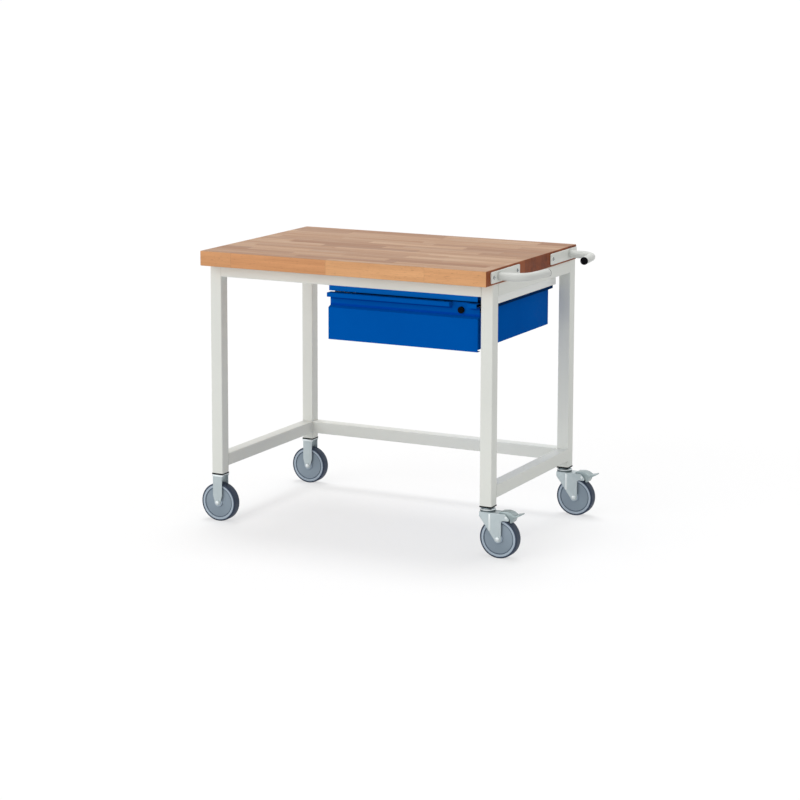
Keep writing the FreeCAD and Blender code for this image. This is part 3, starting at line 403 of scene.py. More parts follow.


# %% [markdown]
# ## Beech staves
# The top is glued from long narrow staves, each its own tone, butted end to end. One value counts the row across the
# depth, another the staves along it, and a random number for each pair tints that stave. The grain runs along the
# stave, with short dark flecks. The top face gets a darker, greyer tone than the planed edges, a painted shade with a
# painted sheen. The sawn ends drink more oil, so the end faces are the darkest. Masks by place choose between the
# three.

# %% Stave group
STAVE_WIDTH = 43 * MM
STAVE_LENGTH = 340 * MM
ROW_START = 10.0
ROW_OFFSETS = 5.1

staves, source, sink, place = new_group("glued_staves", [("Width", STAVE_WIDTH), ("Length", STAVE_LENGTH)],
                                        ["Tint", "Seam", "Grain", "Flecks", "Rings"])
axes = add(staves, "ShaderNodeSeparateXYZ")
staves.links.new(place, axes.inputs[0])
across = maths(staves, "DIVIDE", maths(staves, "ADD", axes.outputs["Y"], ROW_START), source["Width"])
row = maths(staves, "FLOOR", across)
row_dice = add(staves, "ShaderNodeTexWhiteNoise", noise_dimensions="1D")
staves.links.new(row, row_dice.inputs["W"])
along = maths(staves, "ADD", maths(staves, "DIVIDE", axes.outputs["X"], source["Length"]),
              maths(staves, "MULTIPLY", row_dice.outputs["Value"], ROW_OFFSETS))
pair = add(staves, "ShaderNodeCombineXYZ")
staves.links.new(row, pair.inputs["X"])
staves.links.new(maths(staves, "FLOOR", along), pair.inputs["Y"])
stave_dice = add(staves, "ShaderNodeTexWhiteNoise", noise_dimensions="3D")
staves.links.new(pair.outputs[0], stave_dice.inputs["Vector"])
staves.links.new(stave_dice.outputs["Value"], sink["Tint"])
print("a stave is", round(STAVE_WIDTH / MM), "mm wide and", round(STAVE_LENGTH / MM), "mm long")


# %% Seams and grain of the staves
def seam(counted, start):
    """A mask along the borders of what is counted, from a share of half a stave on."""
    gap = maths(staves, "ABSOLUTE", maths(staves, "SUBTRACT", maths(staves, "FRACT", counted), 0.5))
    return spread(staves, gap, start, 0.5)


def streaks(scale, detail, roughness=0.5):
    """Noise stretched along each axis, begun elsewhere in each stave."""
    return noise(staves, stretched(staves, offset.outputs[0], scale), 1.0, detail, roughness)


staves.links.new(maths(staves, "MAXIMUM", seam(across, 0.485), seam(along, 0.4985)), sink["Seam"])
offset = add(staves, "ShaderNodeVectorMath", operation="ADD")
staves.links.new(place, offset.inputs[0])
staves.links.new(stave_dice.outputs["Color"], offset.inputs[1])
long_grain = maths(staves, "MULTIPLY", streaks((2.2, 55.0, 55.0), 6.0, 0.62), 0.7)
fine_grain = maths(staves, "MULTIPLY", streaks((14.0, 520.0, 520.0), 3.0), 0.3)
staves.links.new(maths(staves, "ADD", long_grain, fine_grain), sink["Grain"])
staves.links.new(spread(staves, streaks((70.0, 620.0, 620.0), 1.0), 0.64, 0.72), sink["Flecks"])
staves.links.new(streaks((60.0, 60.0, 60.0), 5.0, 0.7), sink["Rings"])
print("the stave group has", len(staves.nodes), "nodes")

# %% Worktop finish
END_SKIN = 2.2 * MM
END_FACE = 0.3 * MM
TOP_FACE = 0.2 * MM
WOOD_BUMP = 0.12
WOOD_DEPTH = 0.3 * MM
WOOD_SHINE = 0.1

top_low, top_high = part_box("worktop")
beech, tree, shader = new_finish("beech_top")
wood = use_group(tree, staves, Width=STAVE_WIDTH, Length=STAVE_LENGTH)
from_middle = maths(tree, "ABSOLUTE", maths(tree, "SUBTRACT", coordinate(tree, "X"), (top_low.x + top_high.x) / 2))
half_length = (top_high.x - top_low.x) / 2
at_end = spread(tree, from_middle, half_length - END_SKIN, half_length - END_FACE)
at_top = spread(tree, coordinate(tree, "Z"), top_high.z - END_SKIN, top_high.z - TOP_FACE)
edge_tone = mixed(tree, wood["Tint"], rgb(217, 153, 106), rgb(235, 181, 130))
# Painted shade and painted sheen: the top face is darker and greyer than the planed edges.
top_shade_and_sheen_tone = mixed(tree, wood["Tint"], rgb(154, 117, 91), rgb(200, 167, 136))
stave_tone = mixed(tree, at_top, edge_tone, top_shade_and_sheen_tone)
grain_share = maths(tree, "MULTIPLY", spread(tree, wood["Grain"], 0.38, 0.64, 0.0, 0.62),
                    spread(tree, at_top, 0.0, 1.0, 0.55, 1.0))
grain_tone = mixed(tree, grain_share, stave_tone, rgb(158, 104, 66))
fleck_tone = mixed(tree, maths(tree, "MULTIPLY", wood["Flecks"], 0.3), grain_tone, rgb(122, 76, 48))
seam_tone = mixed(tree, maths(tree, "MULTIPLY", wood["Seam"], 0.5), fleck_tone, rgb(108, 70, 46))
end_tone = mixed(tree, spread(tree, wood["Rings"], 0.35, 0.65), rgb(92, 38, 12), rgb(128, 60, 24))
end_tinted = mixed(tree, maths(tree, "MULTIPLY", wood["Tint"], 0.8), end_tone, rgb(158, 84, 40))
tree.links.new(mixed(tree, at_end, seam_tone, end_tinted), shader["Base Color"])
tree.links.new(spread(tree, wood["Grain"], 0.35, 0.65, 0.38, 0.52), shader["Roughness"])
wood_height = maths(tree, "SUBTRACT", wood["Grain"], wood["Seam"])
tree.links.new(emboss(tree, wood_height, WOOD_BUMP, WOOD_DEPTH), shader["Normal"])
shader["Specular IOR Level"].default_value = WOOD_SHINE
finishes["beech_top"] = beech
print("staves across the top:", round((top_high.y - top_low.y) / STAVE_WIDTH))


# %% [markdown]
# ## Powder coat, zinc, plastic and rubber
# The frame and handles are light grey powder coat, whiter on the hangers. The drawer is a strong blue; the strip
# above
# it is a lighter blue, a painted light, and its runners a darker one, a painted shade. The casters are zinc plated:
# dull on the pedals, brighter on the bolts as a painted glint, and dark on the swivel heads as painted reflection.
# Hubs are grey moulded plastic in dark slate tyres, and plugs, caps and lock are black. One function lays two close
# shades over a shared effect, and a short one for each family sets what is plain all over.

# %% One function for each family of finishes
PAINT_BUMP = 0.10
MOULD_DRIFT = 9.0
PLATING_BUMP = 0.05
GRAIN_DEPTH = 0.2 * MM
PLATING_DEPTH = 0.1 * MM
FINE_MOTTLE = 46.0
COARSE_MOTTLE = 30.0
BRIGHT_METAL = 0.35
DULL_METAL = 0.55


def finished(name, effect, dark, light, bump, depth, **scales):
    """A finish between two shades with the grain of a shared effect; its shader's sockets come back."""
    material, tree, shader = new_finish(name)
    skin = use_group(tree, effect, **scales)
    tree.links.new(mixed(tree, skin["Shade"], dark, light), shader["Base Color"])
    tree.links.new(skin["Roughness"], shader["Roughness"])
    tree.links.new(emboss(tree, skin["Height"], bump, depth), shader["Normal"])
    finishes[name] = material
    return shader


def painted(name, dark, light, grain, drift, specular):
    """Powder coat."""
    shader = finished(name, powder, dark, light, PAINT_BUMP, GRAIN_DEPTH, Grain=grain, Drift=drift)
    shader["Specular IOR Level"].default_value = specular


def moulded(name, dark, light, grain, bump, specular):
    """Moulded plastic or rubber."""
    shader = finished(name, mould, dark, light, bump, GRAIN_DEPTH, Grain=grain, Drift=MOULD_DRIFT)
    shader["Specular IOR Level"].default_value = specular


def plated(name, dark, light, mottle, metal):
    """Zinc plating."""
    shader = finished(name, plating, dark, light, PLATING_BUMP, PLATING_DEPTH, Mottle=mottle)
    shader["Metallic"].default_value = metal


# %% Finishes of the slots and of single pieces
painted("frame_paint", rgb(226, 228, 222), rgb(232, 234, 228), 520.0, 2.4, 0.25)
painted("hanger_paint", rgb(246, 247, 244), rgb(251, 252, 249), 520.0, 2.4, 0.25)
painted("handle_paint", rgb(206, 208, 204), rgb(214, 216, 212), 520.0, 4.0, 0.3)
painted("drawer_paint", rgb(0, 83, 170), rgb(0, 89, 178), 480.0, 2.6, 0.001)
painted("grip_paint", rgb(0, 83, 170), rgb(0, 89, 178), 480.0, 2.6, 0.001)
# Painted light: the strip above the drawer gets a lighter blue than the drawer.
painted("strip_paint", rgb(6, 94, 180), rgb(6, 100, 188), 480.0, 2.6, 0.001)
# Painted shade: the runners get a darker blue than the drawer.
painted("runner_paint", rgb(0, 38, 82), rgb(0, 43, 90), 480.0, 2.6, 0.002)
moulded("black_plastic", rgb(5, 5, 8), rgb(11, 11, 15), 900.0, 0.15, 0.06)
moulded("nylon", rgb(222, 221, 212), rgb(234, 233, 226), 700.0, 0.1, 0.5)
moulded("hub_plastic", rgb(138, 152, 164), rgb(149, 163, 175), 800.0, 0.10, 0.2)
moulded("tyre_rubber", rgb(50, 62, 80), rgb(62, 74, 93), 600.0, 0.25, 0.25)
plated("zinc", rgb(184, 196, 199), rgb(191, 202, 205), FINE_MOTTLE, BRIGHT_METAL)
plated("dull_zinc", rgb(142, 156, 158), rgb(168, 181, 182), COARSE_MOTTLE, DULL_METAL)
# Painted glint: a brighter zinc for the bolts, nuts and pins.
plated("painted_glint_zinc", rgb(222, 230, 231), rgb(230, 237, 238), FINE_MOTTLE, BRIGHT_METAL)
plated("fork_zinc", rgb(184, 196, 199), rgb(191, 202, 205), FINE_MOTTLE, BRIGHT_METAL)
# Painted reflection: a dark zinc for the swivel cups.
plated("cup_zinc", rgb(104, 117, 121), rgb(130, 143, 147), COARSE_MOTTLE, DULL_METAL)
print("finishes:", sorted(finishes))

# %% A first coat for every node
# A hanger, a runner or the strip has a coat of its own, named after the second word of its node.
for entry in frame["record"]["subparts"]:
    node = frame["nodes"][entry["node"]]
    node.data.materials.clear()
    kind = entry["node"].split("_")[1] if "_" in entry["node"] else ""
    node.data.materials.append(finishes.get(kind + "_paint", finishes[entry["material_slot"]]))


# %% [markdown]
# ## More tools: arcs, sheet metal and holes
# Folded sheet is drawn as its outer skin only. The skin gets its thickness afterwards, towards the inside, so it has
# to be known which way it faces. Round holes are cut last, with plain cylinders as cutters.

# %% Arc, sheet and drill helpers
TINY = 0.05 * MM
DRILL_STEPS = 48


def arc(centre, radius, start, end, steps=8):
    """Points along a circle between two angles in degrees."""
    turns = [math.radians(start + (end - start) * step / steps) for step in range(steps + 1)]
    return [(centre[0] + radius * math.cos(turn), centre[1] + radius * math.sin(turn)) for turn in turns]


def touching(point, centre, radius):
    """The angle in degrees at which a line from a point touches a circle, going round anticlockwise."""
    away = Vector(point) - Vector(centre)
    return math.degrees(math.atan2(away.y, away.x) + math.acos(radius / away.length))


def thicken(piece, wall, outwards):
    """Give a skin its wall, on the side away from a direction that most of it faces."""
    clean(piece)
    facing = sum((face.normal * face.area for face in piece.data.polygons), Vector()).dot(Vector(outwards))
    if facing < 0:
        edit_all(piece)
        bpy.ops.mesh.flip_normals()
        deselect()
    modify(piece, "SOLIDIFY", thickness=wall, offset=-1, use_even_offset=True)


def drill(piece, start, end, radius):
    """Cut a round hole from one point to another."""
    start, end = Vector(start), Vector(end)
    deselect()
    bpy.ops.mesh.primitive_cylinder_add(vertices=DRILL_STEPS, radius=radius, depth=(end - start).length,
                                        location=(start + end) / 2)
    cutter = bpy.context.object
    cutter.rotation_euler = (end - start).to_track_quat("Z", "Y").to_euler()
    settle(cutter)
    modify(piece, "BOOLEAN", operation="DIFFERENCE", solver="EXACT", object=cutter)
    bpy.data.objects.remove(cutter)


def bevel_picked(width, segments):
    """Round the edges that are selected."""
    bpy.ops.mesh.bevel(offset=width, segments=segments, affect="EDGES", clamp_overlap=True)
    deselect()


ENDS = ("front", "back")
axis_points = {joint["name"]: Vector(joint["pos_m"]) for joint in frame["record"]["behaviour"]["joints"]
               if "pos_m" in joint}
print("axes taken from the record:", len(axis_points))


# %% [markdown]
# ## Drawer front
# One sheet makes the whole front: a flat face, a sloping fold into the grip recess, and a lip above it to pull by.
# The section is drawn once, up the face and over the lip, and extruded along the drawer. The ends fold back as
# returns, with a relief left open at the foot. Round the lock the lip is cut away and the recess wall runs up.
# The coat has painted shade in the recess, under the lip and along its foot: two darker tones there.

# %% Folded sheet with its lip, returns and lock notch
SHEET = 1.5 * MM
LIP_REACH = 10 * MM
LIP_HEIGHT = 13.5 * MM
RECESS_DEPTH = 14 * MM
RECESS_HEIGHT = 28.1 * MM
SLOPE_HEIGHT = 6 * MM
RETURN_RELIEF = 10 * MM
NOTCH_WIDTH = 61 * MM
LOCK_HOLE_RADIUS = 9 * MM
FOLD_ROUND = 0.55 * MM

low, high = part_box("drawer_front")
lock_axis = axis_points["lock_turn"]
face_y = low.y + LIP_REACH
recess_y = face_y + RECESS_DEPTH
lip_z = high.z - LIP_HEIGHT
slope_top = lip_z - RECESS_HEIGHT
face_top = slope_top - SLOPE_HEIGHT
return_foot = low.z + RETURN_RELIEF
return_top = face_top - 2 * SHEET
fold = [(high.y, low.z), (face_y, low.z), (face_y, return_foot), (face_y, return_top), (face_y, face_top),
        (recess_y, slope_top), (recess_y, lip_z), (low.y, lip_z), (low.y, high.z), (recess_y, high.z),
        (high.y, high.z)]
drawer_front = chain("drawer_front_folded", [(low.x, y, z) for y, z in fold])
edit_all(drawer_front)
push((high.x - low.x, 0, 0))
for end_x in (low.x, high.x):
    pick(drawer_front, "EDGE", lambda middle, edge: abs(middle.x - end_x) < TINY and abs(middle.y - face_y) < TINY
         and return_foot < middle.z < return_top)
    push((0, high.y - face_y, 0))
notch = (lock_axis.x - NOTCH_WIDTH / 2, lock_axis.x + NOTCH_WIDTH / 2)
for cut_x in notch:
    edit_all(drawer_front)
    bpy.ops.mesh.bisect(plane_co=(cut_x, 0, 0), plane_no=(1, 0, 0))
pick(drawer_front, "FACE", lambda middle, face: notch[0] < middle.x < notch[1] and middle.y < recess_y - TINY
     and middle.z > lip_z - TINY)
bpy.ops.mesh.delete(type="FACE")
pick(drawer_front, "EDGE", lambda middle, edge: notch[0] < middle.x < notch[1] and abs(middle.z - lip_z) < TINY)
push((0, 0, LIP_HEIGHT))
thicken(drawer_front, SHEET, (0, -1, 0))
drill(drawer_front, (lock_axis.x, recess_y - SHEET, lock_axis.z), (lock_axis.x, recess_y + 2 * SHEET, lock_axis.z),
      LOCK_HOLE_RADIUS)
soften(drawer_front, FOLD_ROUND, 3)
hand_over(drawer_front, "drawer", "drawer_paint", "drawer_front", finish="grip_paint")

# %% Painted shade in the grip recess
FOOT_SHADE = 8 * MM
LIP_SHADE = 9 * MM
SHADE_FADE = 2 * MM

tree = finishes["grip_paint"].node_tree
height = coordinate(tree, "Z")
in_recess = maths(tree, "MULTIPLY", spread(tree, coordinate(tree, "Y"), face_y + MM, face_y + 2 * MM),
                  spread(tree, height, slope_top - MM, slope_top))
foot_end = slope_top + FOOT_SHADE
# Painted shade along the foot of the recess.
painted_foot_shade = spread(tree, height, foot_end - SHADE_FADE, foot_end, 1.0, 0.0)
toned(tree, maths(tree, "MULTIPLY", in_recess, painted_foot_shade), rgb(0, 72, 171))
from_lock = maths(tree, "ABSOLUTE", maths(tree, "SUBTRACT", coordinate(tree, "X"), lock_axis.x))
beside_lock = spread(tree, from_lock, NOTCH_WIDTH / 2 - TINY, NOTCH_WIDTH / 2 + MM)
lip_start = lip_z - LIP_SHADE
under_lip = maths(tree, "MULTIPLY", spread(tree, height, lip_start, lip_start + SHADE_FADE),
                  spread(tree, height, lip_z, lip_z + MM, 1.0, 0.0))
lip_shade = maths(tree, "MULTIPLY", in_recess, maths(tree, "MULTIPLY", beside_lock, under_lip))
# Painted shade under the lip, outside the lock notch.
toned(tree, lip_shade, rgb(0, 64, 155))
print("the grip recess is", round((lip_z - slope_top) / MM, 1), "mm high")


# %% [markdown]
# ## Drawer tray
# The tray is an open box of the same sheet. Its two side walls stand higher than its ends and fold outwards at the
# top into the flanges that run on the glides. It starts as a block with its top taken off.

# %% Open box with running flanges
FLANGE = 11 * MM
END_DROP = 13.9 * MM
TRAY_ROUND = 0.5 * MM

low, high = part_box("drawer_tray")
tray = block("drawer_tray_folded", (low.x + FLANGE, low.y, low.z), (high.x - FLANGE, high.y, high.z - SHEET))
pick(tray, "FACE", lambda middle, face: face.normal.z > 0.5)
bpy.ops.mesh.delete(type="ONLY_FACE")
end_top = high.z - END_DROP
edit_all(tray)
bpy.ops.mesh.bisect(plane_co=(0, 0, end_top), plane_no=(0, 0, 1))
pick(tray, "FACE", lambda middle, face: middle.z > end_top and abs(face.normal.y) > 0.5)
bpy.ops.mesh.delete(type="FACE")
for side_x, way in ((low.x + FLANGE, -1), (high.x - FLANGE, 1)):
    pick(tray, "EDGE", lambda middle, edge: abs(middle.x - side_x) < TINY and middle.z > high.z - SHEET - TINY)
    push((way * FLANGE, 0, 0))
thicken(tray, SHEET, (0, 0, -1))
soften(tray, TRAY_ROUND)
hand_over(tray, "drawer", "drawer_paint", "drawer_tray")


# %% [markdown]
# ## Lock
# A short barrel sits in the recess with a turned flange. Its section is spun round the lock's own axis, and the rim
# gets a small chamfer that catches the light.

# %% Turned lock barrel
low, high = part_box("lock_barrel")
BARREL_BORE = 5.56 * MM
FLANGE_HEIGHT = 7 * MM
RIM_CHAMFER = 1 * MM
BORE_CHAMFER = 0.6 * MM
BARREL_ROUND = 0.25 * MM
BARREL_STEPS = 48
flange_radius = (high.x - low.x) / 2
section = [(BARREL_BORE, low.y + RIM_CHAMFER), (BARREL_BORE + BORE_CHAMFER, low.y),
           (flange_radius - RIM_CHAMFER, low.y), (flange_radius, low.y + RIM_CHAMFER),
           (flange_radius, low.y + FLANGE_HEIGHT), (LOCK_HOLE_RADIUS, low.y + FLANGE_HEIGHT),
           (LOCK_HOLE_RADIUS, high.y), (BARREL_BORE, high.y), (BARREL_BORE, low.y + RIM_CHAMFER)]
barrel = turned("lock_barrel_turned", [(lock_axis.x + radius, y, lock_axis.z) for radius, y in section], lock_axis,
                (0, 1, 0), BARREL_STEPS)
soften(barrel, BARREL_ROUND)
hand_over(barrel, "drawer", "black_plastic", "lock_barrel")


# %% [markdown]
# ## Wheels
# Each wheel is a moulded hub inside a hard rubber tyre, and both are turned. One section of each is spun round the
# axle. The hub's flat disc ends at a groove, past which a ring stands up beside the tyre, and it thickens again at
# the bore. The ring gets a painted highlight and the groove a painted shade, which masks by the distance from the
# wheel's middle plane give. The tyre has rounded shoulders and a shallow parting line round the tread.

# %% Sections of hub and tyre
WHEEL_RADIUS = 62.48 * MM
TYRE_INNER = 57 * MM
TYRE_HALF = 16 * MM
SHOULDER = 4 * MM
RING_HALF = 15 * MM
GROOVE_RADIUS = 48.5 * MM
GROOVE_HALF = 1.7 * MM
GROOVE_FLOOR = 12 * MM
DISC_HALF = 13 * MM
BOSS_RADIUS = 14 * MM
BOSS_HALF = 18.2 * MM
BOSS_FILLET = 2 * MM
BORE_RADIUS = 4.06 * MM
PARTING = 0.3 * MM
HUB_CHAMFER = 0.8 * MM
RIM_ROUND = 0.4 * MM
WHEEL_STEPS = 96


def both_sides(half):
    """A section drawn on one side of the wheel, continued by its mirror image and closed."""
    return half + [(radius, -across) for radius, across in reversed(half)] + [half[0]]


def along_y(name, section, centre, steps=48):
    """A section of radius and distance along Y, spun round an axis along Y."""
    points = [(centre.x + radius, centre.y + across, centre.z) for radius, across in section]
    return turned(name, points, centre, (0, 1, 0), steps)


hub_half = [(BORE_RADIUS, BOSS_HALF), (BOSS_RADIUS - HUB_CHAMFER, BOSS_HALF), (BOSS_RADIUS, BOSS_HALF - HUB_CHAMFER)]
hub_half += arc((BOSS_RADIUS + BOSS_FILLET, DISC_HALF + BOSS_FILLET), BOSS_FILLET, 180, 270, 4)
hub_half += [(GROOVE_RADIUS - GROOVE_HALF, DISC_HALF), (GROOVE_RADIUS - GROOVE_HALF * 0.8, GROOVE_FLOOR),
             (GROOVE_RADIUS + GROOVE_HALF * 0.8, GROOVE_FLOOR), (GROOVE_RADIUS + GROOVE_HALF, RING_HALF - RIM_ROUND),
             (GROOVE_RADIUS + GROOVE_HALF + RIM_ROUND, RING_HALF), (TYRE_INNER, RING_HALF)]
tyre_half = [(TYRE_INNER, TYRE_HALF - RIM_ROUND), (TYRE_INNER + RIM_ROUND, TYRE_HALF)]
tyre_half += arc((WHEEL_RADIUS - SHOULDER, TYRE_HALF - SHOULDER), SHOULDER, 90, 0, 6)
tyre_half += [(WHEEL_RADIUS, PARTING), (WHEEL_RADIUS - PARTING, 0)]
print("points in half a section:", len(hub_half), "of the hub and", len(tyre_half), "of the tyre")


# %% Painted highlight on the ring and painted shade in the groove
def off_axle(tree):
    """How far a point lies from the middle plane of the nearer pair of wheels."""
    place = coordinate(tree, "Y")
    gaps = [maths(tree, "ABSOLUTE", maths(tree, "SUBTRACT", place, axis_points["wheel_%s_left_spin" % end].y))
            for end in ENDS]
    return maths(tree, "MINIMUM", *gaps)


tree = finishes["hub_plastic"].node_tree
# Painted highlight on the raised ring.
painted_ring_highlight = spread(tree, off_axle(tree), RING_HALF - 0.9 * MM, RING_HALF - 0.3 * MM)
toned(tree, painted_ring_highlight, rgb(176, 190, 203))
# Painted shade in the groove.
painted_groove_shade = spread(tree, off_axle(tree), GROOVE_FLOOR + 0.3 * MM, GROOVE_FLOOR + 0.7 * MM, 1.0, 0.0)
toned(tree, painted_groove_shade, rgb(102, 116, 130))
print("the ring stands", round((RING_HALF - DISC_HALF) / MM, 1), "mm out from the disc")

# %% Spun hubs and tyres
for end in ENDS:
    for side in ("left", "right"):
        centre = axis_points["wheel_%s_%s_spin" % (end, side)]
        wheel_body = "wheel_%s_%s" % (end, side)
        hub = along_y("hub_%s_%s" % (end, side), both_sides(hub_half), centre, WHEEL_STEPS)
        hand_over(hub, wheel_body, "hub_plastic", "wheel_hub_%s_%s" % (end, side))
        tyre = along_y("tread_%s_%s" % (end, side), both_sides(tyre_half), centre, WHEEL_STEPS)
        hand_over(tyre, wheel_body, "tyre_rubber", "tyre_%s_%s" % (end, side))


# %% [markdown]
# ## Axles
# A round domed bolt head shows on the near cheek of each fork, and a nut on the far one. The bolt is turned in one
# piece with its shank, and the nut is a six-sided plate with its corners taken off. The brake's pin has a flat head
# at each end. Bolts and pins get a brighter zinc than the forks, a painted glint.

# %% Bolts, nuts and pins
CHEEK_HALF = 21.5 * MM
AXLE_RADIUS = 4 * MM
HEAD_RADIUS = 7 * MM
HEAD_HEIGHT = 5 * MM
HEAD_FLANK = 1.4 * MM
PIN_RADIUS = 3 * MM
PIN_HEAD_RADIUS = 4.5 * MM
PIN_HEAD_HEIGHT = 2 * MM
SHANK_CHAMFER = 0.6 * MM
PIN_CHAMFER = 0.7 * MM
NUT_ROUND = 0.5 * MM


def axle_bolt(name, centre):
    """A domed bolt through a fork with a nut at the back."""
    dome = [(0, -CHEEK_HALF - HEAD_HEIGHT)]
    for share in (0.25, 0.5, 0.75, 1.0):
        turn = share * math.pi / 2
        dome.append((HEAD_RADIUS * math.sin(turn),
                     -CHEEK_HALF - HEAD_FLANK - (HEAD_HEIGHT - HEAD_FLANK) * math.cos(turn)))
    shank_end = CHEEK_HALF + HEAD_HEIGHT
    shank = [(HEAD_RADIUS, -CHEEK_HALF), (AXLE_RADIUS, -CHEEK_HALF), (AXLE_RADIUS, shank_end - SHANK_CHAMFER),
             (AXLE_RADIUS - SHANK_CHAMFER, shank_end), (0, shank_end)]
    bolt = along_y(name, dome + shank, centre)
    corners = [(centre.x + x, centre.y + CHEEK_HALF, centre.z + z) for x, z in arc((0, 0), HEAD_RADIUS, 0, 300, 5)]
    nut = slab(name + "_nut", corners, (0, HEAD_HEIGHT - NUT_ROUND, 0))
    soften(nut, NUT_ROUND)
    return [bolt, nut]


def pedal_pin(name, centre):
    """A pin with a flat head at each end."""
    pin_end = CHEEK_HALF + PIN_HEAD_HEIGHT
    head = [(0, pin_end), (PIN_HEAD_RADIUS - PIN_CHAMFER, pin_end), (PIN_HEAD_RADIUS, pin_end - PIN_CHAMFER),
            (PIN_HEAD_RADIUS, CHEEK_HALF), (PIN_RADIUS, CHEEK_HALF)]
    return along_y(name, head + [(radius, -across) for radius, across in reversed(head)], centre)


fixed_axles = []
for end in ENDS:
    fixed_axles += axle_bolt("fixed_axle_" + end, axis_points["wheel_%s_left_spin" % end])
    parts = axle_bolt("swivel_bolt_" + end, axis_points["wheel_%s_right_spin" % end])
    parts.append(pedal_pin("swivel_pin_" + end, axis_points["pedal_%s_press" % end]))
    hand_over(join(parts, "swivel_fasteners_" + end), "swivel_" + end, "zinc", "swivel_axle_" + end,
              finish="painted_glint_zinc")
hand_over(join(fixed_axles, "fixed_fasteners"), "frame", "zinc", "fixed_axles", finish="painted_glint_zinc")


# %% [markdown]
# ## Fixed forks
# The two left casters do not swivel. Each fork is one strip of steel bent into a bridge: its cheek is drawn flat,
# with a wider collar at the top and straight sides that taper to a round boss. Its top edge is extruded across, and
# the cheek is doubled on the far side. The bends are rounded while the skin is thin, and then it gets its thickness.
# The collar has a painted highlight.

# %% Tools for bent forks
FORK_PLATE = 3 * MM
BEND_ROUND = 4 * MM
FORK_EDGE = 1.0 * MM
STEM_RADIUS = 5.1 * MM


def bridged(piece, top_edges):
    """Carry the chosen edges of a flat cheek across the fork and double the cheek on the far side."""
    near_y = piece.data.vertices[0].co.y
    pick(piece, "EDGE", top_edges)
    push((0, 2 * CHEEK_HALF, 0))
    pick(piece, "FACE", lambda middle, face: abs(middle.y - near_y) < TINY)
    bpy.ops.mesh.duplicate_move(TRANSFORM_OT_translate={"value": (0, 2 * CHEEK_HALF, 0)})
    clean(piece)
    pick(piece, "EDGE", lambda middle, edge: len(edge.link_faces) == 2)
    bevel_picked(BEND_ROUND, 5)
    thicken(piece, FORK_PLATE, (0, 0, 1))


def flat_cheek(name, outline, origin):
    """The near cheek as one flat face, drawn in X and Z from an origin."""
    piece = chain(name, [(origin.x + x, origin.y - CHEEK_HALF, z) for x, z in outline])
    edit_all(piece)
    bpy.ops.mesh.edge_face_add()
    deselect()
    return piece


def bore(piece, centre, radius):
    """Drill along Y through both cheeks."""
    across = Vector((0, 2 * CHEEK_HALF, 0))
    drill(piece, centre - across, centre + across, radius)


# %% Bent strip forks
FIXED_HALF = 17 * MM
COLLAR_HALF = 20 * MM
COLLAR_HEIGHT = 6 * MM
COLLAR_STEP = 1 * MM
FIXED_TAPER = 24 * MM
FIXED_BOSS = 10 * MM

for end in ENDS:
    axle = axis_points["wheel_%s_left_spin" % end]
    fork_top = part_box("fixed_fork_" + end)[1].z
    shoulder = (FIXED_HALF, axle.z + FIXED_TAPER)
    boss = (0, axle.z)
    meet = touching((-shoulder[0], shoulder[1]), boss, FIXED_BOSS)
    collar_foot = fork_top - COLLAR_HEIGHT
    outline = [(-COLLAR_HALF, fork_top), (-COLLAR_HALF, collar_foot), (-FIXED_HALF, collar_foot - COLLAR_STEP),
               (-FIXED_HALF, shoulder[1])]
    outline += arc(boss, FIXED_BOSS, meet, 540 - meet, 16)
    outline += [shoulder, (FIXED_HALF, collar_foot - COLLAR_STEP), (COLLAR_HALF, collar_foot),
                (COLLAR_HALF, fork_top)]
    fork = flat_cheek("fixed_fork_bent_" + end, outline, axle)
    bridged(fork, lambda middle, edge: abs(middle.z - fork_top) < TINY)
    bore(fork, axle, AXLE_RADIUS)
    drill(fork, (axle.x, axle.y, fork_top - 2 * FORK_PLATE), (axle.x, axle.y, fork_top + FORK_PLATE), STEM_RADIUS)
    soften(fork, FORK_EDGE, 3)
    hand_over(fork, "frame", "zinc", "fixed_fork_" + end, finish="fork_zinc")
tree = finishes["fork_zinc"].node_tree
# Painted highlight on the collar of the fixed forks.
painted_collar_highlight = spread(tree, coordinate(tree, "Z"), collar_foot - COLLAR_STEP, collar_foot)
toned(tree, painted_collar_highlight, rgb(222, 230, 232))


# %% [markdown]
# ## Swivel forks
# The right casters trail behind their swivel. Their cheeks rake back to the axle and carry a sloping ear for the
# brake's pin. The front edge is turned in as a web, and a pressed bead stiffens each cheek. A turned ring sits on the
# crown for the balls. The bead gets a painted highlight and the ring a painted shade, so two masks by place change
# the fork's tone.

# %% Measures and tools for raked forks
FRONT_REACH = 20 * MM
FRONT_DROP = 14 * MM
WEB_SHARE = 0.26
SWIVEL_BOSS = 11 * MM
EAR_FILLET = 8 * MM
EAR_CORNER = 3 * MM
EAR_TOP_DROP = 6 * MM
EAR_TIP_DROP = 14 * MM
EAR_SLOPE_GAP = 4 * MM
EAR_HEIGHT = 15 * MM
EAR_PIN_REACH = 9 * MM
CROWN_PIN_GAP = 8 * MM
CROWN_DROP = 13 * MM
BEAD_PLACE = 14.6 * MM
BEAD_HALF = 4.2 * MM
BEAD_RISE = 1.9 * MM
BEAD_SINK = 0.3 * MM
BEAD_LENGTH = 52 * MM
RING_BORE = 16.2 * MM
HEAD_OUTER = 25 * MM
CUP_HEIGHT = 8 * MM
RING_GAP = 0.4 * MM
BEAD_ROUND = 0.4 * MM


def along_z(name, section, centre, steps=72):
    """A section of radius and height, spun round an upright axis."""
    return turned(name, [(centre.x + radius, centre.y, z) for radius, z in section], centre, (0, 0, 1), steps)


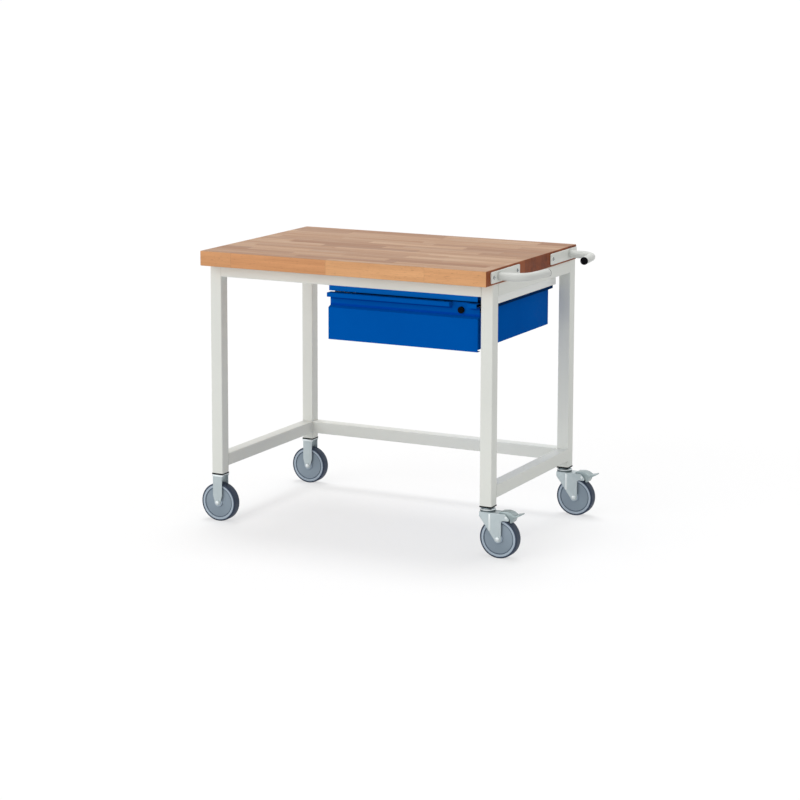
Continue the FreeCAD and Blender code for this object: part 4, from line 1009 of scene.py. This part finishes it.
def pressed_bead(name, swivel, top):
    """A low round ridge down the near cheek, part of a circle in section."""
    rise = BEAD_RISE + BEAD_SINK
    radius = (BEAD_HALF ** 2 + rise ** 2) / (2 * rise)
    half_turn = math.degrees(math.asin(BEAD_HALF / radius))
    middle = (swivel.x + BEAD_PLACE, swivel.y - CHEEK_HALF - BEAD_RISE + radius)
    section = arc(middle, radius, 270 - half_turn, 270 + half_turn, 10)
    bead = slab(name, [(x, y, top - BEAD_LENGTH) for x, y in section], (0, 0, BEAD_LENGTH))
    soften(bead, BEAD_ROUND, 2, 40)
    return bead


# %% Raked forks with rings
for end in ENDS:
    swivel = axis_points["swivel_%s_turn" % end]
    axle = axis_points["wheel_%s_right_spin" % end]
    pin = axis_points["pedal_%s_press" % end]
    caster_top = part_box("swivel_head_" + end)[1].z
    crown = caster_top - CROWN_DROP
    boss = (axle.x - swivel.x, axle.z)
    pin_x = pin.x - swivel.x
    front_foot = Vector((-FRONT_REACH, crown - FRONT_DROP))
    meet = touching(front_foot, boss, SWIVEL_BOSS)
    boss_arc = arc(boss, SWIVEL_BOSS, meet, 360, 18)
    web_end = front_foot.lerp(Vector(boss_arc[0]), WEB_SHARE)
    ear_top = crown - EAR_TOP_DROP
    ear_foot = ear_top - EAR_HEIGHT
    back_x = boss[0] + SWIVEL_BOSS
    ear_x = pin_x + EAR_PIN_REACH
    outline = [(-FRONT_REACH, crown), tuple(front_foot), tuple(web_end)] + boss_arc
    outline += arc((back_x + EAR_FILLET, ear_foot - EAR_FILLET), EAR_FILLET, 180, 90, 6)
    outline += arc((ear_x - EAR_CORNER, ear_foot + EAR_CORNER), EAR_CORNER, -90, 0, 4)
    crown_end = pin_x - CROWN_PIN_GAP
    outline += [(ear_x, crown - EAR_TIP_DROP), (pin_x - EAR_SLOPE_GAP, crown), (crown_end, crown)]
    fork = flat_cheek("swivel_fork_bent_" + end, outline, swivel)

    def crown_or_web(middle, edge):
        on_crown = abs(middle.z - crown) < TINY and middle.x < swivel.x + crown_end
        return on_crown or (middle.x < swivel.x + web_end.x and middle.z > web_end.y)

    bridged(fork, crown_or_web)
    bore(fork, axle, AXLE_RADIUS)
    bore(fork, pin, PIN_RADIUS)
    drill(fork, (swivel.x, swivel.y, crown - 3 * FORK_PLATE), (swivel.x, swivel.y, crown + FORK_PLATE), RING_BORE)
    soften(fork, FORK_EDGE, 3)
    near_bead = pressed_bead("bead_near_" + end, swivel, crown - BEND_ROUND)
    far_bead = flipped(near_bead, "bead_far_" + end, swivel.y)
    ring_top = caster_top - CUP_HEIGHT - RING_GAP
    ring = along_z("ring_" + end, [
        (RING_BORE, crown - FORK_PLATE), (RING_BORE, ring_top), (HEAD_OUTER - 1.5 * MM, ring_top),
        (HEAD_OUTER - 0.4 * MM, ring_top - 0.5 * MM), (HEAD_OUTER, ring_top - 1.6 * MM),
        (HEAD_OUTER - 0.4 * MM, ring_top - 3 * MM), (HEAD_OUTER - 3 * MM, crown),
        (RING_BORE + MM, crown - FORK_PLATE), (RING_BORE, crown - FORK_PLATE)], swivel)
    fork = join([fork, ring, near_bead, far_bead], "swivel_fork_bent_" + end)
    hand_over(fork, "swivel_" + end, "zinc", "swivel_fork_" + end, finish="fork_zinc")

# %% Painted highlight on the beads and painted shade on the rings
tree = finishes["fork_zinc"].node_tree
# Painted highlight along the beads.
painted_bead_highlight = spread(tree, off_axle(tree), CHEEK_HALF + 0.2 * MM, CHEEK_HALF + 0.6 * MM)
toned(tree, painted_bead_highlight, rgb(226, 233, 234))
# Painted shade: a dark tone on the ring above the crown.
on_swivel = spread(tree, coordinate(tree, "X"), -MM, MM)
above_crown = spread(tree, coordinate(tree, "Z"), crown + 0.2 * MM, crown + 0.6 * MM)
toned(tree, maths(tree, "MULTIPLY", on_swivel, above_crown), rgb(92, 104, 108))
print("the crowns stand", round(crown / MM, 1), "mm above the floor")


# %% [markdown]
# ## Swivel heads
# The head above each swivel fork stays with the leg. It is a pressed cup with the race for the balls below it, and is
# turned as one section. Its neck is a dark zinc and its rolled rim a bright one, both painted reflection; a mask by
# height gives the rim.

# %% Pressed cups
RACE_RADIUS = 12 * MM
RACE_DEPTH = 8.4 * MM
CUP_BEVEL = 5 * MM
NECK_ROUND = 0.8 * MM

for end in ENDS:
    swivel = axis_points["swivel_%s_turn" % end]
    caster_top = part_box("swivel_head_" + end)[1].z
    cup_foot = caster_top - CUP_HEIGHT
    cup_step = HEAD_OUTER - CUP_BEVEL
    cup = along_z("swivel_cup_" + end, [
        (STEM_RADIUS, cup_foot - RACE_DEPTH), (RACE_RADIUS, cup_foot - RACE_DEPTH), (RACE_RADIUS, cup_foot),
        (HEAD_OUTER - MM, cup_foot), (HEAD_OUTER, cup_foot + MM), (HEAD_OUTER, cup_foot + 2.4 * MM),
        (HEAD_OUTER - 0.8 * MM, cup_foot + 3.3 * MM), (cup_step + 1.6 * MM, cup_foot + 4.2 * MM),
        (cup_step + 0.6 * MM, cup_foot + 5 * MM), (cup_step, caster_top - NECK_ROUND),
        (cup_step - NECK_ROUND, caster_top), (STEM_RADIUS, caster_top), (STEM_RADIUS, cup_foot - RACE_DEPTH)], swivel)
    hand_over(cup, "frame", "zinc", "swivel_head_" + end, finish="cup_zinc")
tree = finishes["cup_zinc"].node_tree
# Painted highlight on the rolled rim of the cup.
painted_rim_highlight = spread(tree, coordinate(tree, "Z"), cup_foot + 3.6 * MM, cup_foot + 4.4 * MM, 1.0, 0.0)
toned(tree, painted_rim_highlight, rgb(224, 231, 233))


# %% [markdown]
# ## Brake pedals
# A pedal rocks on its pin between the fork's ears. Its side view is drawn once: a heel round the pin, a nose over the
# crown, a shoe that points down at the tyre, and a blade that kinks up to the toe. It is extruded to the width of the
# fork. The crest is rolled over in wide bends, and the tip corners are rounded in plan.

# %% Rocking pedals with a shoe and a blade
PEDAL_HALF = 17.9 * MM
PEDAL_PLATE = 3 * MM
TIP_ROUND = 8 * MM
CREST_ROUND = 5 * MM
HEEL_BACK = 6 * MM
HEEL_DROP = 4.5 * MM
NOSE_REACH = 25 * MM
NOSE_FOOT = 10.6 * MM
NOSE_RISE = 15 * MM
CREST_RISE = 17.5 * MM
BROW_REACH = 15.5 * MM
BROW_RISE = 13.3 * MM
BLADE_REACH = 47.5 * MM
KNEE_REACH = BLADE_REACH / 2
KNEE_RISE = 7 * MM
KNEE_DROP = 0.8 * MM
TIP_RISE = 13.2 * MM
SHOE_DROP = 16.2 * MM
SHOE_FRONT = KNEE_REACH - 6.95 * MM
SHOE_BACK = KNEE_REACH - 12.35 * MM
SHOE_ROOT = KNEE_REACH - 12.95 * MM
SHOE_ROOT_DROP = 6.6 * MM
PEDAL_BORE = 3.06 * MM
PEDAL_ROUND = 0.7 * MM
side_view = [(-HEEL_BACK, -HEEL_DROP), (-HEEL_BACK, NOSE_FOOT), (-NOSE_REACH, NOSE_FOOT), (-NOSE_REACH, NOSE_RISE),
             (0, CREST_RISE), (BROW_REACH, BROW_RISE), (KNEE_REACH, KNEE_RISE), (BLADE_REACH, TIP_RISE),
             (BLADE_REACH, TIP_RISE - PEDAL_PLATE), (KNEE_REACH, -KNEE_DROP), (SHOE_FRONT, -SHOE_DROP),
             (SHOE_BACK, -SHOE_DROP), (SHOE_ROOT, -SHOE_ROOT_DROP)]

for end in ENDS:
    pin = axis_points["pedal_%s_press" % end]
    points = [(pin.x + x, pin.y - PEDAL_HALF, pin.z + z) for x, z in side_view]
    pedal = slab("pedal_bent_" + end, points, (0, 2 * PEDAL_HALF, 0))
    tip_x = pin.x + BLADE_REACH
    pick(pedal, "EDGE", lambda middle, edge: middle.x > tip_x - TINY and abs(middle.y - pin.y) > PEDAL_HALF - TINY)
    bevel_picked(TIP_ROUND, 8)
    crest_z = pin.z + NOSE_FOOT + PEDAL_PLATE / 2
    pick(pedal, "EDGE", lambda middle, edge: abs(middle.y - pin.y) < TINY and middle.z > crest_z
         and middle.x < pin.x + KNEE_REACH)
    bevel_picked(CREST_ROUND, 6)
    bore(pedal, pin, PEDAL_BORE)
    soften(pedal, PEDAL_ROUND, 3)
    hand_over(pedal, "pedal_" + end, "zinc", "brake_pedal_" + end, finish="dull_zinc")


# %% [markdown]
# ## Push handles
# Each handle is a round tube that leaves its plate squarely and bends towards the middle of the bench. A circle is
# extruded along the stub, spun through the bend and extruded again, and then gets its wall. A small weld runs round
# its root. The rear tube is the front one mirrored. The plates have rounded corners, with wood left above and below
# them, and the free ends have domed caps.

# %% Bent tubes with their welds
TUBE_RADIUS = 12.5 * MM
TUBE_WALL = 2 * MM
TUBE_ROUND = 0.5 * MM
TUBE_STEPS = 48
STUB = 36 * MM
HANDLE_BEND = 55 * MM
HANDLE_ANGLE = math.radians(82)
BEND_STEPS = 20
RUN = 85 * MM
WELD = 2.6 * MM

front_low, front_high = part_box("handle_tube_front")
rear_low, rear_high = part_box("handle_tube_rear")
handle_middle = (front_low.y + rear_high.y) / 2
root = Vector((front_low.x, front_low.y + TUBE_RADIUS, (front_low.z + front_high.z) / 2))
bend_centre = root + Vector((STUB, HANDLE_BEND, 0))
run_way = Vector((math.cos(HANDLE_ANGLE), math.sin(HANDLE_ANGLE), 0))
bend_end = bend_centre + HANDLE_BEND * Vector((math.sin(HANDLE_ANGLE), -math.cos(HANDLE_ANGLE), 0))
free_end = bend_end + RUN * run_way

deselect()
bpy.ops.mesh.primitive_circle_add(vertices=TUBE_STEPS, radius=TUBE_RADIUS, location=root,
                                  rotation=(0, math.pi / 2, 0))
tube = rename(bpy.context.object, "handle_tube_bent_front")
settle(tube)
edit_all(tube)
push((STUB, 0, 0))
bpy.ops.mesh.spin(steps=BEND_STEPS, angle=-HANDLE_ANGLE, center=bend_centre, axis=(0, 0, 1))
push(RUN * run_way)
thicken(tube, TUBE_WALL, (0, 0, 0))
soften(tube, TUBE_ROUND, 2, 60)
weld_arc = [(TUBE_RADIUS + WELD - x, z) for x, z in arc((0, 0), WELD, 0, 90, 5)]
weld_section = [(TUBE_RADIUS - MM, 0)] + weld_arc + [(TUBE_RADIUS - MM, WELD)]
weld_points = [(root.x + x, root.y, root.z + radius) for radius, x in weld_section]
weld = turned("handle_weld", weld_points, root, (1, 0, 0), TUBE_STEPS)
front_tube = join([tube, weld], "handle_tube_bent_front")
rear_tube = flipped(front_tube, "handle_tube_bent_rear", handle_middle)
hand_over(front_tube, "frame", "handle_paint", "handle_tube_front")
hand_over(rear_tube, "frame", "handle_paint", "handle_tube_rear")

# %% Domed end caps
CAP_RIM = 3 * MM
CAP_PLUG = 12 * MM
CAP_GAP = 0.2 * MM

plug_radius = TUBE_RADIUS - TUBE_WALL - CAP_GAP
cap_section = [(0, -CAP_PLUG), (plug_radius, -CAP_PLUG), (plug_radius, 0), (TUBE_RADIUS, 0),
               (TUBE_RADIUS, CAP_RIM * 0.4), (TUBE_RADIUS * 0.94, CAP_RIM * 0.7), (TUBE_RADIUS * 0.75, CAP_RIM * 0.9),
               (TUBE_RADIUS * 0.4, CAP_RIM * 0.99), (0, CAP_RIM)]
cap_points = [free_end + run_way * along + Vector((0, 0, radius)) for radius, along in cap_section]
front_cap = turned("handle_cap_front", cap_points, free_end, run_way, TUBE_STEPS)
rear_cap = flipped(front_cap, "handle_cap_rear", handle_middle)
hand_over(join([front_cap, rear_cap], "handle_caps_domed"), "frame", "black_plastic", "handle_caps")

# %% Plates with rounded corners
PLATE_CORNER = 5 * MM
PLATE_ROUND = 0.7 * MM
PLATE_MARGIN = Vector((0, 0, 2.5 * MM))

for hand in ("front", "rear"):
    low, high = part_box("handle_plate_" + hand)
    plate = block("handle_plate_cut_" + hand, low + PLATE_MARGIN, high - PLATE_MARGIN)
    pick(plate, "EDGE", lambda middle, edge: abs(middle.x - (low.x + high.x) / 2) < TINY)
    bevel_picked(PLATE_CORNER, 6)
    soften(plate, PLATE_ROUND, 3, 40)
    hand_over(plate, "frame", "handle_paint", "handle_plate_" + hand, finish="frame_paint")


# %% [markdown]
# ## Handle screws
# Four pan-head screws hold the plates. One head is turned as a low dome, a cross is cut into it with two thin blocks,
# and copies go to the other places. A mask by depth gives painted shade inside the cross, and the rest of the head is
# a bright zinc, a painted highlight.

# %% Cross-head screws
SCREW_EDGE = 18 * MM
SCREW_HEAD = 5.5 * MM
SCREW_SHANK = 2.5 * MM
SCREW_RISE = 3 * MM
CROSS_WIDTH = 2.2 * MM
CROSS_LENGTH = 7.6 * MM
CROSS_DEPTH = 2.3 * MM
SLOT_SHADE = 1.4 * MM
SCREW_STEPS = 32

screw_low, screw_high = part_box("handle_screws")
seat_x = screw_high.x - SCREW_RISE
front_low, front_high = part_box("handle_plate_front")
rear_low, rear_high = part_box("handle_plate_rear")
screw_z = (front_low.z + front_high.z) / 2
places = [front_low.y + SCREW_EDGE, front_high.y - SCREW_EDGE, rear_low.y + SCREW_EDGE, rear_high.y - SCREW_EDGE]
first = Vector((seat_x, places[0], screw_z))
head_section = [(0, screw_low.x - seat_x), (SCREW_SHANK, screw_low.x - seat_x), (SCREW_SHANK, 0), (SCREW_HEAD, 0),
                (SCREW_HEAD, SCREW_RISE * 0.3), (SCREW_HEAD * 0.93, SCREW_RISE * 0.62),
                (SCREW_HEAD * 0.7, SCREW_RISE * 0.87), (SCREW_HEAD * 0.35, SCREW_RISE * 0.98), (0, SCREW_RISE)]
screw = turned("handle_screw", [(first.x + x, first.y, first.z + radius) for radius, x in head_section], first,
               (1, 0, 0), SCREW_STEPS)
for width, height in ((CROSS_WIDTH, CROSS_LENGTH), (CROSS_LENGTH, CROSS_WIDTH)):
    reach = Vector((CROSS_DEPTH, width / 2, height / 2))
    middle = Vector((screw_high.x, first.y, first.z))
    cutter = block("cross_cutter", middle - reach, middle + reach)
    modify(screw, "BOOLEAN", operation="DIFFERENCE", solver="EXACT", object=cutter)
    bpy.data.objects.remove(cutter)
screws = [screw] + [copied(screw, "handle_screw_copy", (0, place - places[0], 0)) for place in places[1:]]
print("screws:", len(screws))

# %% Heads with a painted highlight and slots with painted shade
material, tree, shader = new_finish("screw_zinc")
# Painted shade in the slots and round the foot of the head, painted highlight on the rest of the head.
painted_slot_shade = spread(tree, coordinate(tree, "X"), screw_high.x - SLOT_SHADE, screw_high.x - SLOT_SHADE / 2, 1.0, 0.0)
tree.links.new(mixed(tree, painted_slot_shade, rgb(228, 233, 234), rgb(38, 40, 42)), shader["Base Color"])
tree.links.new(use_group(tree, plating, Mottle=FINE_MOTTLE)["Roughness"], shader["Roughness"])
shader["Metallic"].default_value = BRIGHT_METAL
finishes["screw_zinc"] = material
hand_over(join(screws, "handle_screws_cross"), "frame", "zinc", "handle_screws", finish="screw_zinc")


# %% [markdown]
# ## Studio
# A wide pale floor runs to the horizon, and the camera sees it almost white, so that only the bench's soft shadow
# marks it. It sends less light back than it shows, so that undersides stay shaded. A big soft box overhead stands a
# little to the back, so that the shadow falls under the bench and to the front. A wide one in front on the left and
# an even sky do the rest. Together they light a front face at about full level.

# %% Floor
FLOOR_SIZE = 400
FLOOR_GLOW = 0.58
FLOOR_PALE = 0.98
FLOOR_BOUNCE = 0.68


def seen_directly(tree):
    """One where the camera, a reflection or a clear piece looks straight at the surface."""
    path = add(tree, "ShaderNodeLightPath")
    mirrored = maths(tree, "MAXIMUM", path.outputs["Is Glossy Ray"], path.outputs["Is Transmission Ray"])
    return maths(tree, "MAXIMUM", path.outputs["Is Camera Ray"], mirrored)


deselect()
bpy.ops.mesh.primitive_plane_add(size=FLOOR_SIZE, location=(0, 0, 0))
floor = rename(bpy.context.object, "studio_floor")
material, tree, shader = new_finish("studio_floor")
tree.links.new(spread(tree, seen_directly(tree), 0.0, 1.0, FLOOR_BOUNCE, FLOOR_PALE), shader["Base Color"])
shader["Roughness"].default_value = 0.9
shader["Specular IOR Level"].default_value = 0.0
glow = add(tree, "ShaderNodeEmission")
glow.inputs["Strength"].default_value = 1.0
blend = add(tree, "ShaderNodeMixShader")
tree.links.new(maths(tree, "MULTIPLY", seen_directly(tree), FLOOR_GLOW), blend.inputs["Fac"])
tree.links.new(tree.nodes["Principled BSDF"].outputs[0], blend.inputs[1])
tree.links.new(glow.outputs[0], blend.inputs[2])
tree.links.new(blend.outputs[0], tree.nodes["Material Output"].inputs["Surface"])
floor.data.materials.append(material)
print("floor", FLOOR_SIZE, "m wide")

# %% Sky and lamps
SKY_LIGHT = 0.62

scene = bpy.context.scene
scene.view_settings.view_transform = "Standard"
sky = bpy.data.worlds.new("studio_sky")
sky.use_nodes = True
scene.world = sky
tree = sky.node_tree
backdrop = tree.nodes["Background"]
backdrop.inputs["Color"].default_value = (1, 1, 1, 1)
tree.links.new(spread(tree, seen_directly(tree), 0.0, 1.0, SKY_LIGHT, 1.0), backdrop.inputs["Strength"])


def soft_box(name, lamp_side, strength, spread_degrees):
    """A far lamp with a wide face, on the side that a direction gives."""
    light = bpy.data.lights.new(name, "SUN")
    light.energy = strength
    light.angle = math.radians(spread_degrees)
    holder = bpy.data.objects.new(name, light)
    scene.collection.objects.link(holder)
    holder.rotation_euler = Vector(lamp_side).to_track_quat("Z", "Y").to_euler()
    print(name, "strength", strength)


soft_box("overhead_box", (-0.10, 0.22, 1.0), 1.15, 24)
soft_box("front_box", (-0.35, -0.92, 0.17), 1.24, 60)


# %% [markdown]
# ## Camera
# The picture was taken from the front right, a little above the top, with a long lens. The numbers come from fitting
# the worktop's corners, the legs and the wheels. The small shift keeps the legs close to upright, as they are there.

# %% Camera at the picture's angle
PICTURE_SIZE = 800
SENSOR_WIDTH = 36
FOCAL_PIXELS = 2359.6
CENTRE_COLUMN_PIXELS = 360
CENTRE_ROW_PIXELS = 280
CAMERA_FROM_TOP_MIDDLE = Vector((3.4015, -6.6962, 1.9098))
CAMERA_YAW = -0.4829
CAMERA_PITCH = 0.1484

top_middle = (top_low + top_high) / 2
camera_data = bpy.data.cameras.new("picture_camera")
camera_data.sensor_width = SENSOR_WIDTH
camera_data.lens = FOCAL_PIXELS / PICTURE_SIZE * SENSOR_WIDTH
camera_data.shift_x = (PICTURE_SIZE / 2 - CENTRE_COLUMN_PIXELS) / PICTURE_SIZE
camera_data.shift_y = (CENTRE_ROW_PIXELS - PICTURE_SIZE / 2) / PICTURE_SIZE
camera = bpy.data.objects.new("picture_camera", camera_data)
scene.collection.objects.link(camera)
camera.location = CAMERA_FROM_TOP_MIDDLE + Vector((top_middle.x, top_middle.y, 0))
look = Vector((math.sin(CAMERA_YAW) * math.cos(CAMERA_PITCH), math.cos(CAMERA_YAW) * math.cos(CAMERA_PITCH),
               -math.sin(CAMERA_PITCH)))
camera.rotation_euler = look.to_track_quat("-Z", "Y").to_euler()
scene.camera = camera
print("camera lens", round(camera_data.lens, 1), "mm at", [round(value, 2) for value in camera.location])
